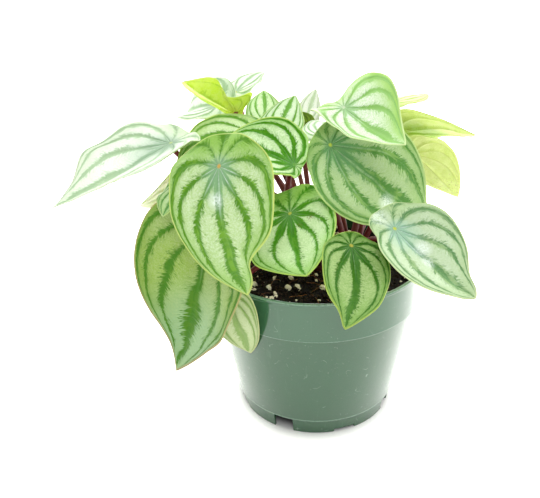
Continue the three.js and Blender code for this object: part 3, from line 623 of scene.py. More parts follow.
# joint is the point where the stalk meets the blade, base the share of the length that lies behind it,
# left and right the fold of each half, sway how far the tip swings to the side, and wave and lobes the
# wavy margin. Dents are (side, place along, reach, depth) of the outline, and via are the points that the
# stalk passes on its way from the crown.
plainShape = dict(base=0.22, taper=0.9, baseBend=10, sway=0, wave=0.8, lobes=5, dents=(), via=())
leafShapes = [{**plainShape, **shape} for shape in (
    dict(name="far_left", crown="left", joint=(-65.8, -7, 138.1), heading=-136.7, pitch=-17.5, roll=3.1,
         length=72.3, width=45.8, base=0.158, taper=1.169, tipBend=-1.3, baseBend=2, left=22.2, right=23.4,
         sway=0.042, dents=[(1, 0.64, 0.13, -0.38), (-1, 0.7, 0.15, 0.28)],
         via=[(-34, 8, 106), (-57, 0, 125)]),
    dict(name="curled", crown="left", joint=(-41.4, 40, 141.4), heading=230.1, pitch=31.8, roll=-27.3,
         length=42.9, width=39.8, base=0.074, taper=0.916, tipBend=7.3, baseBend=-10.7, left=28.8, right=43.1,
         sway=-0.042, wave=2, lobes=3, phase=59, dents=[(-1, 0.44, 0.228, 0.75)],
         via=[(-27, 24, 104), (-34, 35, 122), (-40, 38, 134)]),
    dict(name="top_pale", crown="back", joint=(-45.5, 79, 143.7), heading=63, pitch=27.4, roll=4, length=38,
         width=23.8, base=0.189, taper=0.901, tipBend=32.3, left=13.8, right=8.6, sway=0.015,
         dents=[(1, 0.68, 0.15, 0.13), (-1, 0.49, 0.15, 0.25)], via=[(-20, 36, 106), (-37, 58, 126)]),
    dict(name="back_left", crown="back", joint=(-54, 60, 140.3), heading=141.5, pitch=-4.9, roll=35.4,
         length=49.4, width=34.8, base=0.219, taper=0.895, tipBend=31, baseBend=14.1, left=27.5, right=27.4,
         sway=0.031),
    dict(name="young_left", crown="back", joint=(-27.1, 48, 133.1), heading=90.4, pitch=45.4, roll=-5.1,
         length=30.5, width=20.4, base=0.217, taper=0.916, tipBend=14.9, left=6, right=3.9, sway=-0.034,
         dents=[(1, 0.56, 0.15, -0.06), (-1, 0.61, 0.15, -0.06)]),
    dict(name="young_middle", crown="front", joint=(-20.5, 33, 129.1), heading=61.8, pitch=53.5, roll=-10.8,
         length=35.4, width=24.9, base=0.23, taper=0.912, tipBend=24.2, left=14.4, right=9.9, sway=0.048,
         dents=[(1, 0.53, 0.15, -0.09), (-1, 0.5, 0.15, 0.06)]),
    dict(name="sprout", crown="back", joint=(-6.5, 52, 131), heading=40, pitch=64, roll=-60, length=27,
         width=14, tipBend=15, left=10, right=10, sway=0.03),
    dict(name="upper_left", crown="left", joint=(-27.6, 16, 135.5), heading=-128.7, pitch=1.5, roll=15.3,
         length=67.8, width=46.8, base=0.238, taper=0.927, tipBend=13, baseBend=3.1, left=4, right=8,
         sway=0.001, dents=[(1, 0.43, 0.13, 0.09)]),
    dict(name="cupped", crown="left", joint=(-9, -22, 132.2), heading=176.3, pitch=25.7, roll=32.4,
         length=36.7, width=32.6, base=0.11, taper=0.8, tipBend=27.4, baseBend=19.1, left=35, right=37.4,
         sway=0.117, dents=[(1, 0.02, 0.13, -0.3), (-1, 0.35, 0.12, -0.3)],
         via=[(-15, 6, 100), (-12, 4, 122)]),
    dict(name="large_front", crown="left", joint=(-36.2, -60, 143.6), heading=-95.7, pitch=-57.8, roll=-29,
         length=66.2, width=47.1, base=0.202, taper=0.921, tipBend=49.2, baseBend=10.5, left=-14.1,
         right=16.4, sway=-0.02, dents=[(1, 0.31, 0.12, 0.09), (-1, 0.8, 0.11, 0.43)],
         via=[(-21, 3, 106), (-28, -21, 125)]),
    dict(name="hanging_left", crown="left", joint=(-45, -44, 116.1), heading=-167.5, pitch=-82.3, roll=39.7,
         length=89.7, width=63.1, base=0.12, taper=0.989, tipBend=-7.5, baseBend=6.7, left=16.3, right=30.5,
         sway=0.108, dents=[(1, 0.93, 0.18, 0.45), (-1, 0.66, 0.08, -0.08)],
         via=[(-27, 1, 100), (-37, -20, 112)]),
    dict(name="faded", crown="front", joint=(-38.2, -46.5, 82.2), heading=-10, pitch=-78, roll=-98,
         length=46.3, width=26.2, base=0.2, taper=0.86, tipBend=21, left=8, right=7, sway=0.03,
         dents=[(-1, 0.21, 0.14, 0.14)]),
    dict(name="side_under", crown="left", joint=(-68, 6, 114), heading=-109, pitch=9, roll=-53, length=46,
         width=27, tipBend=12, left=-1, right=-1),
    dict(name="side_shaded", crown="left", joint=(-54, -36, 130), heading=-113, pitch=-14, roll=-19,
         length=29, width=21, base=0.23, tipBend=15, left=3, right=2, via=[(-25, 0, 103), (-42, -16, 121)]),
    dict(name="heart", crown="front", joint=(-11.6, -14.9, 106.7), heading=-84.4, pitch=-30, roll=-22.8,
         length=57.7, width=45.5, base=0.268, taper=0.836, tipBend=-19.4, baseBend=5.3, left=10.5, right=4,
         sway=-0.185, dents=[(1, 0.75, 0.14, -0.22), (-1, 0.27, 0.16, 0.07)]),
    dict(name="large_right", crown="right", joint=(6.6, -9.7, 137.4), heading=-4.6, pitch=-38.8, roll=-51.5,
         length=73.1, width=51.6, base=0.118, taper=0.864, tipBend=20.3, baseBend=-0.3, left=15.2, right=15.1,
         sway=-0.096, dents=[(1, 0.7, 0.13, 0.13), (-1, 0.93, 0.13, 0.3)]),
    dict(name="top_right", crown="right", joint=(12.2, -9, 153.9), heading=-51.6, pitch=-22.3, roll=-21.1,
         length=53.1, width=42.4, base=0.193, taper=1.013, tipBend=-28.1, baseBend=41.6, left=44, right=26.5,
         sway=0.009, dents=[(1, 0.37, 0.26, 0.38), (-1, 0.85, 0.15, 0.16)],
         via=[(22, 12, 110), (16, 13, 138), (12, 7, 151), (11, 0, 153)]),
    dict(name="pale_small", crown="right", joint=(3, 22, 133), heading=83, pitch=12, roll=-10, length=31,
         width=20, tipBend=15, baseBend=9, left=4, right=5),
    dict(name="front_rim", crown="front", joint=(15, -47, 105.1), heading=-79, pitch=-24.9, roll=7.2,
         length=47.1, width=30.4, base=0.134, taper=0.777, tipBend=2.3, baseBend=-40.9, left=0, right=17.9,
         sway=0.267, dents=[(1, 0.92, 0.19, 0.44), (-1, 0.84, 0.13, -0.17)]),
    dict(name="front_right", crown="right", joint=(33.8, -36, 108.1), heading=-39.5, pitch=-34.2, roll=-12.4,
         length=54.4, width=43.4, base=0.2, taper=0.787, tipBend=-1.9, baseBend=-1.1, left=22, right=23.2,
         sway=-0.115, dents=[(1, 0.14, 0.12, 0.33), (-1, 0.86, 0.13, 0.32)]),
    dict(name="right_yellow", crown="right", joint=(41.2, 34, 131.7), heading=-52.8, pitch=23.3, roll=30,
         length=67.8, width=38, base=0.212, taper=0.943, tipBend=24.9, baseBend=9.2, left=5.9, right=4.6,
         sway=-0.06, dents=[(1, 0.63, 0.14, -0.22), (-1, 0.47, 0.15, 0.09)],
         via=[(26, 22, 100), (32, 33, 119)]),
    dict(name="right_hanging", crown="right", joint=(47.9, 21, 125.2), heading=17, pitch=-38.8, roll=42.6,
         length=47.1, width=33.5, base=0.23, taper=0.921, tipBend=16.2, left=6, right=6.1, sway=-0.026,
         dents=[(1, 0.37, 0.12, 0.05), (-1, 0.64, 0.15, 0.1)]),
    dict(name="back_edge", crown="back", joint=(39, 52, 143), heading=53, pitch=0, roll=5, length=46,
         width=30, tipBend=5, left=-1, right=0),
    dict(name="olive_small", crown="right", joint=(-3, 42, 133), heading=150, pitch=30, roll=75, length=16,
         width=10, tipBend=8, baseBend=8, left=8, right=8),
    dict(name="rear_left", crown="back", joint=(-38, 58, 108), heading=120, pitch=-24, roll=8, length=58,
         width=41, base=0.21, taper=0.92, tipBend=22, left=10, right=12, sway=0.03),
    dict(name="rear_middle", crown="back", joint=(-10, 68, 112), heading=96, pitch=-10, roll=-5, length=52,
         width=37, tipBend=20, baseBend=8, left=12, right=8, sway=-0.04),
    dict(name="rear_right", crown="back", joint=(24, 60, 116), heading=72, pitch=-10, roll=-6, length=58,
         width=42, base=0.2, taper=0.95, tipBend=24, baseBend=6, left=9, right=11, sway=0.05),
    dict(name="rear_low_right", crown="right", joint=(38, 46, 102), heading=52, pitch=-30, roll=5, length=50,
         width=36, taper=0.88, tipBend=22, left=14, right=10, sway=-0.03),
    dict(name="rear_low_left", crown="left", joint=(-46, 38, 100), heading=148, pitch=-30, roll=0, length=52,
         width=38, base=0.2, tipBend=18, left=10, right=13, sway=0.04),
    dict(name="rear_low", crown="back", joint=(16, 66, 88), heading=80, pitch=-28, roll=6, length=50,
         width=36, base=0.21, taper=0.92, tipBend=20, baseBend=8, left=11, right=9),
)]


bladeSpec = {"flatBase": 0.7, "keelSoftness": 4.0, "thickness": 0.85, "rimThickness": 0.4, "rimBulge": 0.14,
             "groove": 0.42, "grooveWidth": 0.12, "grooveFrom": 0.12, "grooveFade": 6, "ridge": 0.3,
             "ridgeWidth": 0.07, "ridgeFade": 5, "ridgeTo": 1.2, "ripple": 0.5, "ripplePitch": 0.11,
             "rippleFrom": 6, "seed": 1.3, "seedStep": 3.7,
             "large": 40, "aroundLarge": 144, "aroundSmall": 96, "rings": 22, "crowding": 0.8}
smallStep = 0.05  # along the blade, to measure its slope
leastBend = 1e-4  # stands for a bend of 0, by which the curve would divide


def bladeFrame(leaf):
    heading, pitch, roll = (math.radians(leaf[key]) for key in ("heading", "pitch", "roll"))
    tip = Vector((math.cos(heading) * math.cos(pitch), math.sin(heading) * math.cos(pitch), math.sin(pitch)))
    level = Vector((math.sin(heading), -math.cos(heading), 0))
    lift = level.cross(tip)
    right = level * math.cos(roll) + lift * math.sin(roll)
    up = level * -math.sin(roll) + lift * math.cos(roll)
    return right, tip, up


def halfWidth(leaf, t, hand):
    widest = 0.5 / (0.5 + leaf["taper"])
    scale = math.sqrt(widest) * (1 - widest) ** leaf["taper"]
    half = leaf["width"] / 2 * np.sqrt(t) * np.clip(1 - t, 0, 1) ** leaf["taper"] / scale
    for side, place, reach, depth in leaf["dents"]:
        half = half * np.where(hand == side, 1 - depth * np.exp(-((t - place) / reach) ** 2), 1)
    return half


def bladePoints(leaf, across, along, rim, turn):
    # a flat blade bent along its length, folded along its middle vein and waved at its margin
    right, tip, up = (np.array(v) for v in bladeFrame(leaf))
    ahead = along >= 0
    bend = np.radians(np.where(ahead, leaf["tipBend"] or leastBend, leaf["baseBend"] or leastBend))
    span = leaf["length"] * np.where(ahead, 1 - leaf["base"], leaf["base"])
    curve = bend / span
    phi = curve * along
    fold = np.radians(np.where(across < 0, leaf["left"], leaf["right"]))
    fold = fold * (1 - bladeSpec["flatBase"] * np.clip(-along / (leaf["base"] * leaf["length"]), 0, 1))
    away = np.abs(across)
    tilt = fold * away / (away + bladeSpec["keelSoftness"])
    x = across * np.cos(tilt) + np.where(ahead, leaf["sway"] * along ** 2 / span, 0)
    lobes = leaf["lobes"] * turn + math.radians(leaf.get("phase", 7 * leaf["heading"]))
    lifted = away * np.sin(tilt) + leaf["wave"] * rim ** 3 * np.sin(lobes)
    y = np.sin(phi) / curve + lifted * np.sin(phi)
    z = -(1 - np.cos(phi)) / curve + lifted * np.cos(phi)
    return np.array(leaf["joint"], float) + x[:, None] * right + y[:, None] * tip + z[:, None] * up


def veinDistance(across, along, rim):
    # how far a point lies from its nearest vein, as in the shader group
    turn = np.degrees(np.abs(np.arctan2(across, along)))
    span = veinSpec["tipVeins"] + (180 - veinSpec["tipVeins"]) * (turn / 180) ** veinSpec["spread"]
    shrink = 1 - rim ** veinSpec["curl"] * (1 - turn / span)
    opened = turn / np.maximum(shrink, veinSpec["narrowest"])
    order = np.interp(opened, veinSpec["angles"], range(len(veinSpec["angles"])))
    return np.abs(order - np.round(order))


def bladeGrid(leaf):
    # rings of points from the joint out to the margin, then the joint itself
    s = bladeSpec
    around = s["aroundLarge"] if leaf["length"] > s["large"] else s["aroundSmall"]
    half = around // 2
    index = np.arange(around)
    t = (1 - np.cos(np.pi * np.minimum(index, around - index) / half)) / 2
    hand = np.where(index <= half, 1, -1)
    edgeAcross = halfWidth(leaf, t, hand) * hand
    edgeAcross[[0, half]] = 0
    edgeAlong = (t - leaf["base"]) * leaf["length"]
    steps = (np.arange(1, s["rings"] + 1) / s["rings"]) ** s["crowding"]
    across = np.append(np.outer(steps, edgeAcross), 0)
    along = np.append(np.outer(steps, edgeAlong), 1e-6)
    rim = np.append(np.repeat(steps, around), 0)
    turn = np.append(np.tile(np.arctan2(edgeAcross, edgeAlong), len(steps)), 0)
    return around, across, along, rim, turn


def bladeRelief(leaf, across, along, rim, seed):
    # sunken veins and a puckered skin on top, and the depth of the underside with its raised veins
    s = bladeSpec
    away = veinDistance(across, along, rim)
    distance = np.hypot(across, along)
    grow = np.clip(distance / (s["grooveFrom"] * leaf["length"]), 0, 1)
    grow = grow * np.clip((1 - rim) * s["grooveFade"], 0, 1)
    relief = -s["groove"] * np.exp(-(away / s["grooveWidth"]) ** 2) * grow
    pitch = s["ripplePitch"]
    bumps = np.array([noise.noise((a * pitch + seed, b * pitch, seed)) for a, b in zip(across, along)])
    relief = relief + s["ripple"] * bumps * np.clip(distance / s["rippleFrom"], 0, 1)
    thick = s["rimThickness"] + (s["thickness"] - s["rimThickness"]) * (1 - rim ** 6)
    ridge = s["ridge"] * np.exp(-(away / s["ridgeWidth"]) ** 2)
    ridge = ridge * np.clip((1 - rim) * s["ridgeFade"], 0, 1)
    ridge = ridge * np.clip(s["ridgeTo"] - distance / leaf["length"], 0, 1)
    return relief, thick + ridge


def bladeFaces(around, count):
    # the upper skin (slot 0), the underside (slot 1) and the rounded margin between them
    faces, slots = [], []
    rings = bladeSpec["rings"]
    centre, outer = count - 1, (rings - 1) * around
    for k in range(around):
        after = (k + 1) % around
        faces += [(centre, k, after), (centre + count, after + count, k + count)]
        for ring in range(rings - 1):
            a, b = ring * around + k, ring * around + after
            c, d = a + around, b + around
            faces += [(a, c, d, b), (a + count, b + count, d + count, c + count)]
        slots += [0, 1] * rings
        a, b = outer + k, outer + after
        m, n = 2 * count + k, 2 * count + after
        faces += [(a, m, n, b), (m, a + count, b + count, n)]
        slots += [0, 0]
    return faces, slots


def makeBlade(leaf, seed):
    around, across, along, rim, turn = bladeGrid(leaf)
    count = len(rim)
    upper = bladePoints(leaf, across, along, rim, turn)
    slopes = [bladePoints(leaf, across + x, along + y, rim, turn)
              - bladePoints(leaf, across - x, along - y, rim, turn)
              for x, y in ((smallStep, 0), (0, smallStep))]
    normal = np.cross(*slopes)
    normal[-1] = np.array(bladeFrame(leaf)[2])
    normal /= np.linalg.norm(normal, axis=1)[:, None]
    relief, depth = bladeRelief(leaf, across, along, rim, seed)
    top = upper + normal * relief[:, None]
    low = upper + normal * (relief - depth)[:, None]
    edge = slice(count - 1 - around, count - 1)
    outward = top[edge] - top[-1]
    outward /= np.linalg.norm(outward, axis=1)[:, None]
    middle = (top[edge] + low[edge]) / 2 + outward * bladeSpec["rimBulge"]
    place = np.stack([across, along, rim], 1)
    place = np.vstack([place, place, place[edge]])
    faces, slots = bladeFaces(around, count)
    look = {**plainLook, **leafLooks.get(leaf["name"], {})}
    skins = (topMaterial(leaf, look, seed), underMaterial(leaf, look, seed))
    blade = newPiece("blade_" + leaf["name"], np.vstack([top, low, middle]), faces, skins, "blade")
    blade.data.polygons.foreach_set("material_index", slots)
    setPoints(blade, "leafPlace", place)
    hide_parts("leaf_" + leaf["name"])


for index, leafShape in enumerate(leafShapes):
    makeBlade(leafShape, bladeSpec["seed"] + bladeSpec["seedStep"] * index)
print("leaves made:", len(leafShapes))


# Stalks

stalkSpec = {"radius": 1.35, "sides": 14, "steps": 40, "rootOffset": 3.6, "rootSink": 2.5, "seat": 0.55,
             "seatRun": 3, "lean": 0.12, "rise": 0.35, "drop": 0.28, "thick": 1.1, "taper": 0.2,
             "wobble": 0.036, "wobblePitch": 0.2, "flare": 0.35, "flareFrom": 0.93, "rootFlare": 0.5,
             "rootFlareTo": 0.12}
crownSpec = {"radius": 5.2, "heights": (62, 68, 73, 76, 78, 79), "shares": (0.9, 1.0, 1.0, 0.92, 0.7, 0.3),
             "sides": 24, "stray": 0.2}
crowns = {"left": (-18, 4), "front": (0, -2), "right": (19, 5), "back": (0, 20)}


def stalkMaterial():
    material, tree = newMaterial("redStalk")
    place = objectPlace(tree)
    run = split(tree, meshValues(tree, "stalkRun"))["X"]
    fine = placeGroup(tree, surfaceGrain, Place=place, Scale=900, Cover=0.42, Soft=0.12)
    broad = placeGroup(tree, surfaceGrain, Place=place, Scale=160, Cover=0.5, Soft=0.2)
    skin = tint(tree, paint("#561216"), broad["Spots"], 1.0, "#6e2024")
    skin = tint(tree, skin, fine["Spots"], 0.25, "#9c4a44")
    skin = tint(tree, skin, ramp(tree, run, 0.93, 1.0), 1.0, "#96603c")  # light brown at the blade
    skin = tint(tree, skin, ramp(tree, run, 0.12, 0.0), 1.0, "#4a1a1c")  # darkest in the crown
    setShader(tree, {"Base Color": skin, "Specular IOR Level": 0.32,
                     "Roughness": plus(tree, 0.3, times(tree, fine["Grain"], 0.25)),
                     "Normal": bump(tree, fine["Grain"], 0.00015, 0.5)})
    return material


def catmullRom(points, u):
    # centripetal, through every point
    count = len(points)
    spot = (count - 1) * u
    first = min(int(spot), count - 2)
    part = spot - first
    b, c = points[first], points[first + 1]
    a = points[first - 1] if first > 0 else b * 2 - c
    d = points[first + 2] if first + 2 < count else c * 2 - b
    gaps = [math.sqrt((q - p).length) for p, q in ((a, b), (b, c), (c, d))]
    g0, g1, g2 = gaps[0] or gaps[1], gaps[1], gaps[2] or gaps[1]
    m1 = ((b - a) / g0 - (c - a) / (g0 + g1) + (c - b) / g1) * g1
    m2 = ((c - b) / g1 - (d - b) / (g1 + g2) + (d - c) / g2) * g1
    return b + m1 * part + (c * 3 - b * 3 - m1 * 2 - m2) * part ** 2 + (b * 2 - c * 2 + m1 + m2) * part ** 3


def stalkLine(leaf):
    s = stalkSpec
    x, y = crowns[leaf["crown"]]
    joint = Vector(leaf["joint"])
    up = bladeFrame(leaf)[2]
    away = Vector((joint.x - x, joint.y - y, 0)).normalized()
    start = Vector((x, y, crownSpec["heights"][-1] - s["rootSink"])) + away * s["rootOffset"]
    end = joint - up * s["seat"]
    shares = [k / s["steps"] for k in range(s["steps"] + 1)]
    if leaf["via"]:
        points = [start, *(Vector(spot) for spot in leaf["via"]), end - up * s["seatRun"], end]
        return [catmullRom(points, u) for u in shares]
    span = (end - start).length
    flat = Vector((end.x - start.x, end.y - start.y, 0)).normalized()
    first = start + flat * s["lean"] * span + Vector((0, 0, s["rise"] * span))
    second = end - up * s["drop"] * span
    return [start * (1 - u) ** 3 + first * 3 * u * (1 - u) ** 2 + second * 3 * u ** 2 * (1 - u) + end * u ** 3
            for u in shares]


def circle(sides):
    return [(math.cos(2 * math.pi * k / sides), math.sin(2 * math.pi * k / sides)) for k in range(sides)]


def ringFaces(base, rings, sides):
    # the wall between rings of points that follow each other from the point base on
    return [(base + a, base + b, base + b + sides, base + a + sides) for ring in range(rings - 1)
            for a, b in ((ring * sides + k, ring * sides + (k + 1) % sides) for k in range(sides))]


def tube(line, radii, sides, points, faces):
    base, last = len(points), len(line) - 1
    side = Vector((1, 0, 0))
    for k, centre in enumerate(line):
        ahead = (line[min(k + 1, last)] - line[max(k - 1, 0)]).normalized()
        side = (side - ahead * side.dot(ahead)).normalized()
        other = ahead.cross(side)
        points += [centre + (side * x + other * y) * radii[k] for x, y in circle(sides)]
    faces += ringFaces(base, len(line), sides)
    faces.append(tuple(base + j for j in reversed(range(sides))))
    faces.append(tuple(base + last * sides + j for j in range(sides)))


def stalkRadius(spot, u):
    # thinner on the way up, and wider again in the crown and under the blade
    s = stalkSpec
    flare = s["flare"] * (max(0, u - s["flareFrom"]) / (1 - s["flareFrom"])) ** 2
    flare += s["rootFlare"] * max(0, s["rootFlareTo"] - u) / s["rootFlareTo"]
    wobble = 1 + s["wobble"] * noise.noise(spot * s["wobblePitch"])
    return s["radius"] * (s["thick"] - s["taper"] * u + flare) * wobble


def makeStalks(crown, material):
    points, faces = [], []
    x, y = crowns[crown]
    stray = crownSpec["stray"]
    draw = random.Random(crown)
    line = [Vector((x + draw.uniform(-stray, stray), y + draw.uniform(-stray, stray), z))
            for z in crownSpec["heights"]]
    radii = [crownSpec["radius"] * share for share in crownSpec["shares"]]
    tube(line, radii, crownSpec["sides"], points, faces)
    run = [0] * len(points)  # each point's share of the way up its stalk
    for leaf in leafShapes:
        if leaf["crown"] == crown:
            line = stalkLine(leaf)
            shares = [k / stalkSpec["steps"] for k in range(len(line))]
            radii = [stalkRadius(spot, share) for spot, share in zip(line, shares)]
            tube(line, radii, stalkSpec["sides"], points, faces)
            run += [share for share in shares for _ in range(stalkSpec["sides"])]
    piece = newPiece("stems_" + crown, points, faces, [material], "stalk")
    setPoints(piece, "stalkRun", [(share, 0, 0) for share in run])
    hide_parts("stalks_" + crown)


redStalk = stalkMaterial()
for crownName in crowns:
    makeStalks(crownName, redStalk)
print("stalks made")


# Pot

potSpec = {"sides": 192, "wall": 1.3, "rim": 53, "height": 80, "lip": 1.6, "bandLow": 51.9,
           "bandLowHeight": 60.5, "bandStep": 0.7, "bodyLow": 41.2, "footHeight": 7.6, "footStep": 1,
           "foot": 39.1, "footDraft": 1.1, "floorUnder": 6, "ease": 0.4, "corner": 0.35, "cornerSteps": 3,
           "sharpFrom": 32,
           "seams": (11, 191), "seamWidth": 0.6, "seamProud": 0.12, "seamFrom": 10, "seamRadius": 40.8,
           "edges": (8.9, 60.4, 79.8), "edgeLine": (0.12, 0.4), "bandTone": (60, 61.2)}
potCuts = {
    "slots": {"angles": (-22.5, 67.5, 157.5, 247.5), "radius": 38, "depth": 14, "width": 10, "low": -1,
              "height": 8.6},
    "notches": {"angles": (22.5, 112.5, 202.5, 292.5), "radius": 38, "depth": 8, "width": 11, "low": -1,
                "height": 2.9},
    "sideSlots": {"angles": (76, 256), "radius": 42, "depth": 8, "width": 6, "low": 14, "height": 6.5},
}


def potMaterial():
    material, tree = newMaterial("greyGreenPlastic")
    place = objectPlace(tree)
    x, y, z = split(tree, place)
    broad = placeGroup(tree, surfaceGrain, Place=place, Scale=22, Cover=0.5, Soft=0.25)
    fine = placeGroup(tree, surfaceGrain, Place=place, Scale=1400, Cover=0.3, Soft=0.1)
    dust = placeGroup(tree, surfaceGrain, Place=place, Scale=1000, Cover=0.235, Soft=0.012)
    upright = join(tree, x, y, times(tree, z, 0.06))
    streaks = placeGroup(tree, surfaceGrain, Place=upright, Scale=260, Cover=0.33, Soft=0.06)
    scratches = placeGroup(tree, scratchLines, Place=place, Scale=140, Thin=0.006, Cover=0.38)
    nicks = placeGroup(tree, scratchLines, Place=join(tree, y, z, x), Scale=480, Thin=0.012, Cover=0.3)
    marks = calc(tree, "MAXIMUM", scratches["Lines"], nicks["Lines"])
    # painted highlights: pale lines along the moulded edges, broken up by the grain
    edgeHighlights = 0.0  # pale lines along the moulded edges
    for height in potSpec["edges"]:
        near, far = (width * mm for width in potSpec["edgeLine"])
        line = ramp(tree, calc(tree, "ABSOLUTE", minus(tree, z, height * mm)), near, far, 1.0, 0.0)
        edgeHighlights = calc(tree, "MAXIMUM", edgeHighlights, line)
    bandLow, bandHigh = (height * mm for height in potSpec["bandTone"])
    skin = tint(tree, paint("#1d4a2b"), broad["Spots"], 1.0, "#225031")
    skin = tint(tree, skin, fine["Grain"], 0.2, "#466a4e")
    skin = tint(tree, skin, streaks["Spots"], 0.12, "#6c8e76")
    skin = tint(tree, skin, marks, 0.4, "#94b09a")
    skin = tint(tree, skin, dust["Spots"], 0.75, "#a8c0ac")
    skin = tint(tree, skin, ramp(tree, z, bandLow, bandHigh), 0.3, "#4a7458")
    # painted highlights along the rim lip, the band's lower edge and the foot step
    skin = tint(tree, skin, edgeHighlights, ramp(tree, fine["Grain"], 0.3, 0.6, 0.25, 0.7), "#84a890")
    rough = plus(tree, 0.3, times(tree, fine["Grain"], 0.14), times(tree, streaks["Spots"], 0.1))
    coatRough = plus(tree, 0.03, times(tree, streaks["Spots"], 0.08))
    height = plus(tree, fine["Grain"], times(tree, broad["Grain"], 4.0))
    setShader(tree, {"Base Color": skin, "Specular IOR Level": 0.12, "Roughness": rough,
                     "Coat Weight": 0.8, "Coat IOR": 1.72, "Coat Roughness": coatRough,
                     "Normal": bump(tree, height, 0.0002, 0.35)})
    return material


def rounded(profile, radius, steps):
    # arcs at the corners of an open outline
    made = [profile[0]]
    for before, corner, after in zip(profile, profile[1:], profile[2:]):
        a, b, c = (Vector((*p, 0)) for p in (before, corner, after))
        cut = min(radius, (a - b).length * 0.4, (c - b).length * 0.4)
        start, end = b + (a - b).normalized() * cut, b + (c - b).normalized() * cut
        for k in range(steps + 1):
            u = k / steps
            spot = start * (1 - u) ** 2 + b * 2 * u * (1 - u) + end * u ** 2
            made.append((spot.x, spot.y))
    made.append(profile[-1])
    return made


def potOuter(z):
    s = potSpec
    if z < s["bandLowHeight"]:
        low = s["footHeight"] + s["footStep"]
        share = (z - low) / (s["bandLowHeight"] - low)
        return s["bodyLow"] + (s["bandLow"] - s["bandStep"] - s["bodyLow"]) * share
    share = (z - s["bandLowHeight"]) / (s["height"] - s["bandLowHeight"])
    return s["bandLow"] + (s["rim"] - s["bandLow"]) * share


def potProfile(s):
    # radius and height, from the middle of the floor's underside out, up, over the rim and back inside
    wall, ease, lipLow = s["wall"], s["ease"], s["height"] - s["lip"]
    footTop, bodyFoot = s["foot"] + s["footDraft"], s["footHeight"] + s["footStep"]
    bandFoot = s["bandLow"] - s["bandStep"]
    outside = [(s["foot"], 0), (footTop, s["footHeight"]), (s["bodyLow"], bodyFoot),
               (bandFoot, s["bandLowHeight"] - ease), (s["bandLow"], s["bandLowHeight"]),
               (s["rim"] - ease, lipLow), (s["rim"], lipLow + ease), (s["rim"], s["height"])]
    inside = [(s["rim"] - wall - ease, s["height"]), (potOuter(lipLow) - ease - wall, lipLow),
              (s["bandLow"] - wall, s["bandLowHeight"] + ease), (bandFoot - wall, s["bandLowHeight"] - ease),
              (s["bodyLow"] - wall, bodyFoot), (footTop - wall, s["floorUnder"] + wall)]
    under = [(0, s["floorUnder"]), (footTop - ease - wall, s["floorUnder"]), (s["foot"] - wall, 0)]
    return under + outside + inside + [(0, s["floorUnder"] + wall)]


def potShell(s):
    line = rounded(potProfile(s), s["corner"], s["cornerSteps"])
    sides, rings = s["sides"], line[1:-1]
    points = [(0, 0, line[0][1]), (0, 0, line[-1][1])]
    for r, z in rings:
        onBody = r > s["seamRadius"] and s["bandLowHeight"] > z > s["seamFrom"]
        for k in range(sides):
            angle = 2 * math.pi * k / sides
            near = min(abs((math.degrees(angle) - seam + 180) % 360 - 180) for seam in s["seams"])
            reach = r + (s["seamProud"] if onBody and near < s["seamWidth"] else 0)
            points.append((reach * math.sin(angle), -reach * math.cos(angle), z))
    faces = []
    last = 2 + (len(rings) - 1) * sides
    for k in range(sides):
        after = (k + 1) % sides
        faces += [(0, 2 + after, 2 + k), (1, last + k, last + after)]
        for ring in range(len(rings) - 1):
            a, b = 2 + ring * sides + k, 2 + ring * sides + after
            faces.append((a, b, b + sides, a + sides))
    return points, faces


def makeCutter():
    boxes = bmesh.new()
    for cut in potCuts.values():
        size = Matrix.Diagonal((cut["depth"], cut["width"], cut["height"], 1))
        shift = Matrix.Translation((cut["radius"], 0, cut["low"] + cut["height"] / 2))
        for angle in cut["angles"]:
            turn = Matrix.Rotation(math.radians(angle - 90), 4, "Z")
            bmesh.ops.create_cube(boxes, size=1.0, matrix=turn @ shift @ size)
    tool = bpy.data.meshes.new("footCutter")
    boxes.to_mesh(tool)
    boxes.free()
    tool.transform(Matrix.Scale(mm, 4))
    tool.transform(Matrix.Translation(potAxis))
    return addObject("footCutter", tool)


def makePot():
    pot = newPiece("nurseryPot", *potShell(potSpec), [potMaterial()], "pot")
    cutter = makeCutter()
    cut = pot.modifiers.new("footCuts", "BOOLEAN")
    cut.object = cutter
    cut.operation = "DIFFERENCE"
    cut.solver = "EXACT"
    bpy.context.view_layer.update()
    shaped = bpy.data.meshes.new_from_object(pot.evaluated_get(bpy.context.evaluated_depsgraph_get()))
    pot.modifiers.clear()
    pot.data = shaped
    bpy.data.objects.remove(cutter)
    shaped.polygons.foreach_set("use_smooth", [True] * len(shaped.polygons))
    shaped.set_sharp_from_angle(angle=math.radians(potSpec["sharpFrom"]))
    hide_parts("pot")


makePot()
print("pot made")


# Soil with crumbs, perlite and fibres

soilSpec = {"level": 73.5, "lump": 1.1, "rough": 0.9, "roughPitch": 0.35, "gap": 0.35, "rimGap": 0.2,
            "footGap": 0.2, "bevel": 1.4, "underBand": 1.5, "bandStep": 0.6, "overBand": 1, "sides": 180,
            "rings": 70, "seed": 11, "colours": ("#050303", "#0e0907", "#2a1d16")}
crumbSpec = {"count": 2600, "detail": 1, "size": (0.5, 1.7), "least": 0.5, "wide": (0.5, 1),
             "tall": (0.4, 0.8), "uneven": 0.7, "raised": 0.15, "inset": 1.6,
             "colours": ("#080504", "#1a110c", "#5c4636")}
perliteSpec = {"count": 280, "detail": 2, "size": (0.5, 2.0), "least": 0.45, "wide": (0.7, 1),
               "tall": (0.6, 0.9), "uneven": 0.42, "raised": 0.3, "inset": 2.6,
               "colours": ("#fff2d8", "#fffaea", "#d8c49c")}
fibreSpec = {"count": 60, "points": 10, "fewest": 4, "step": 0.9, "bend": 0.25, "raised": 0.5, "arch": 0.7,
             "radius": (0.1, 0.22), "sides": 6, "inset": 6, "limit": 1.5,
             "colours": ("#5e3a24", "#845434", "#a87c54")}


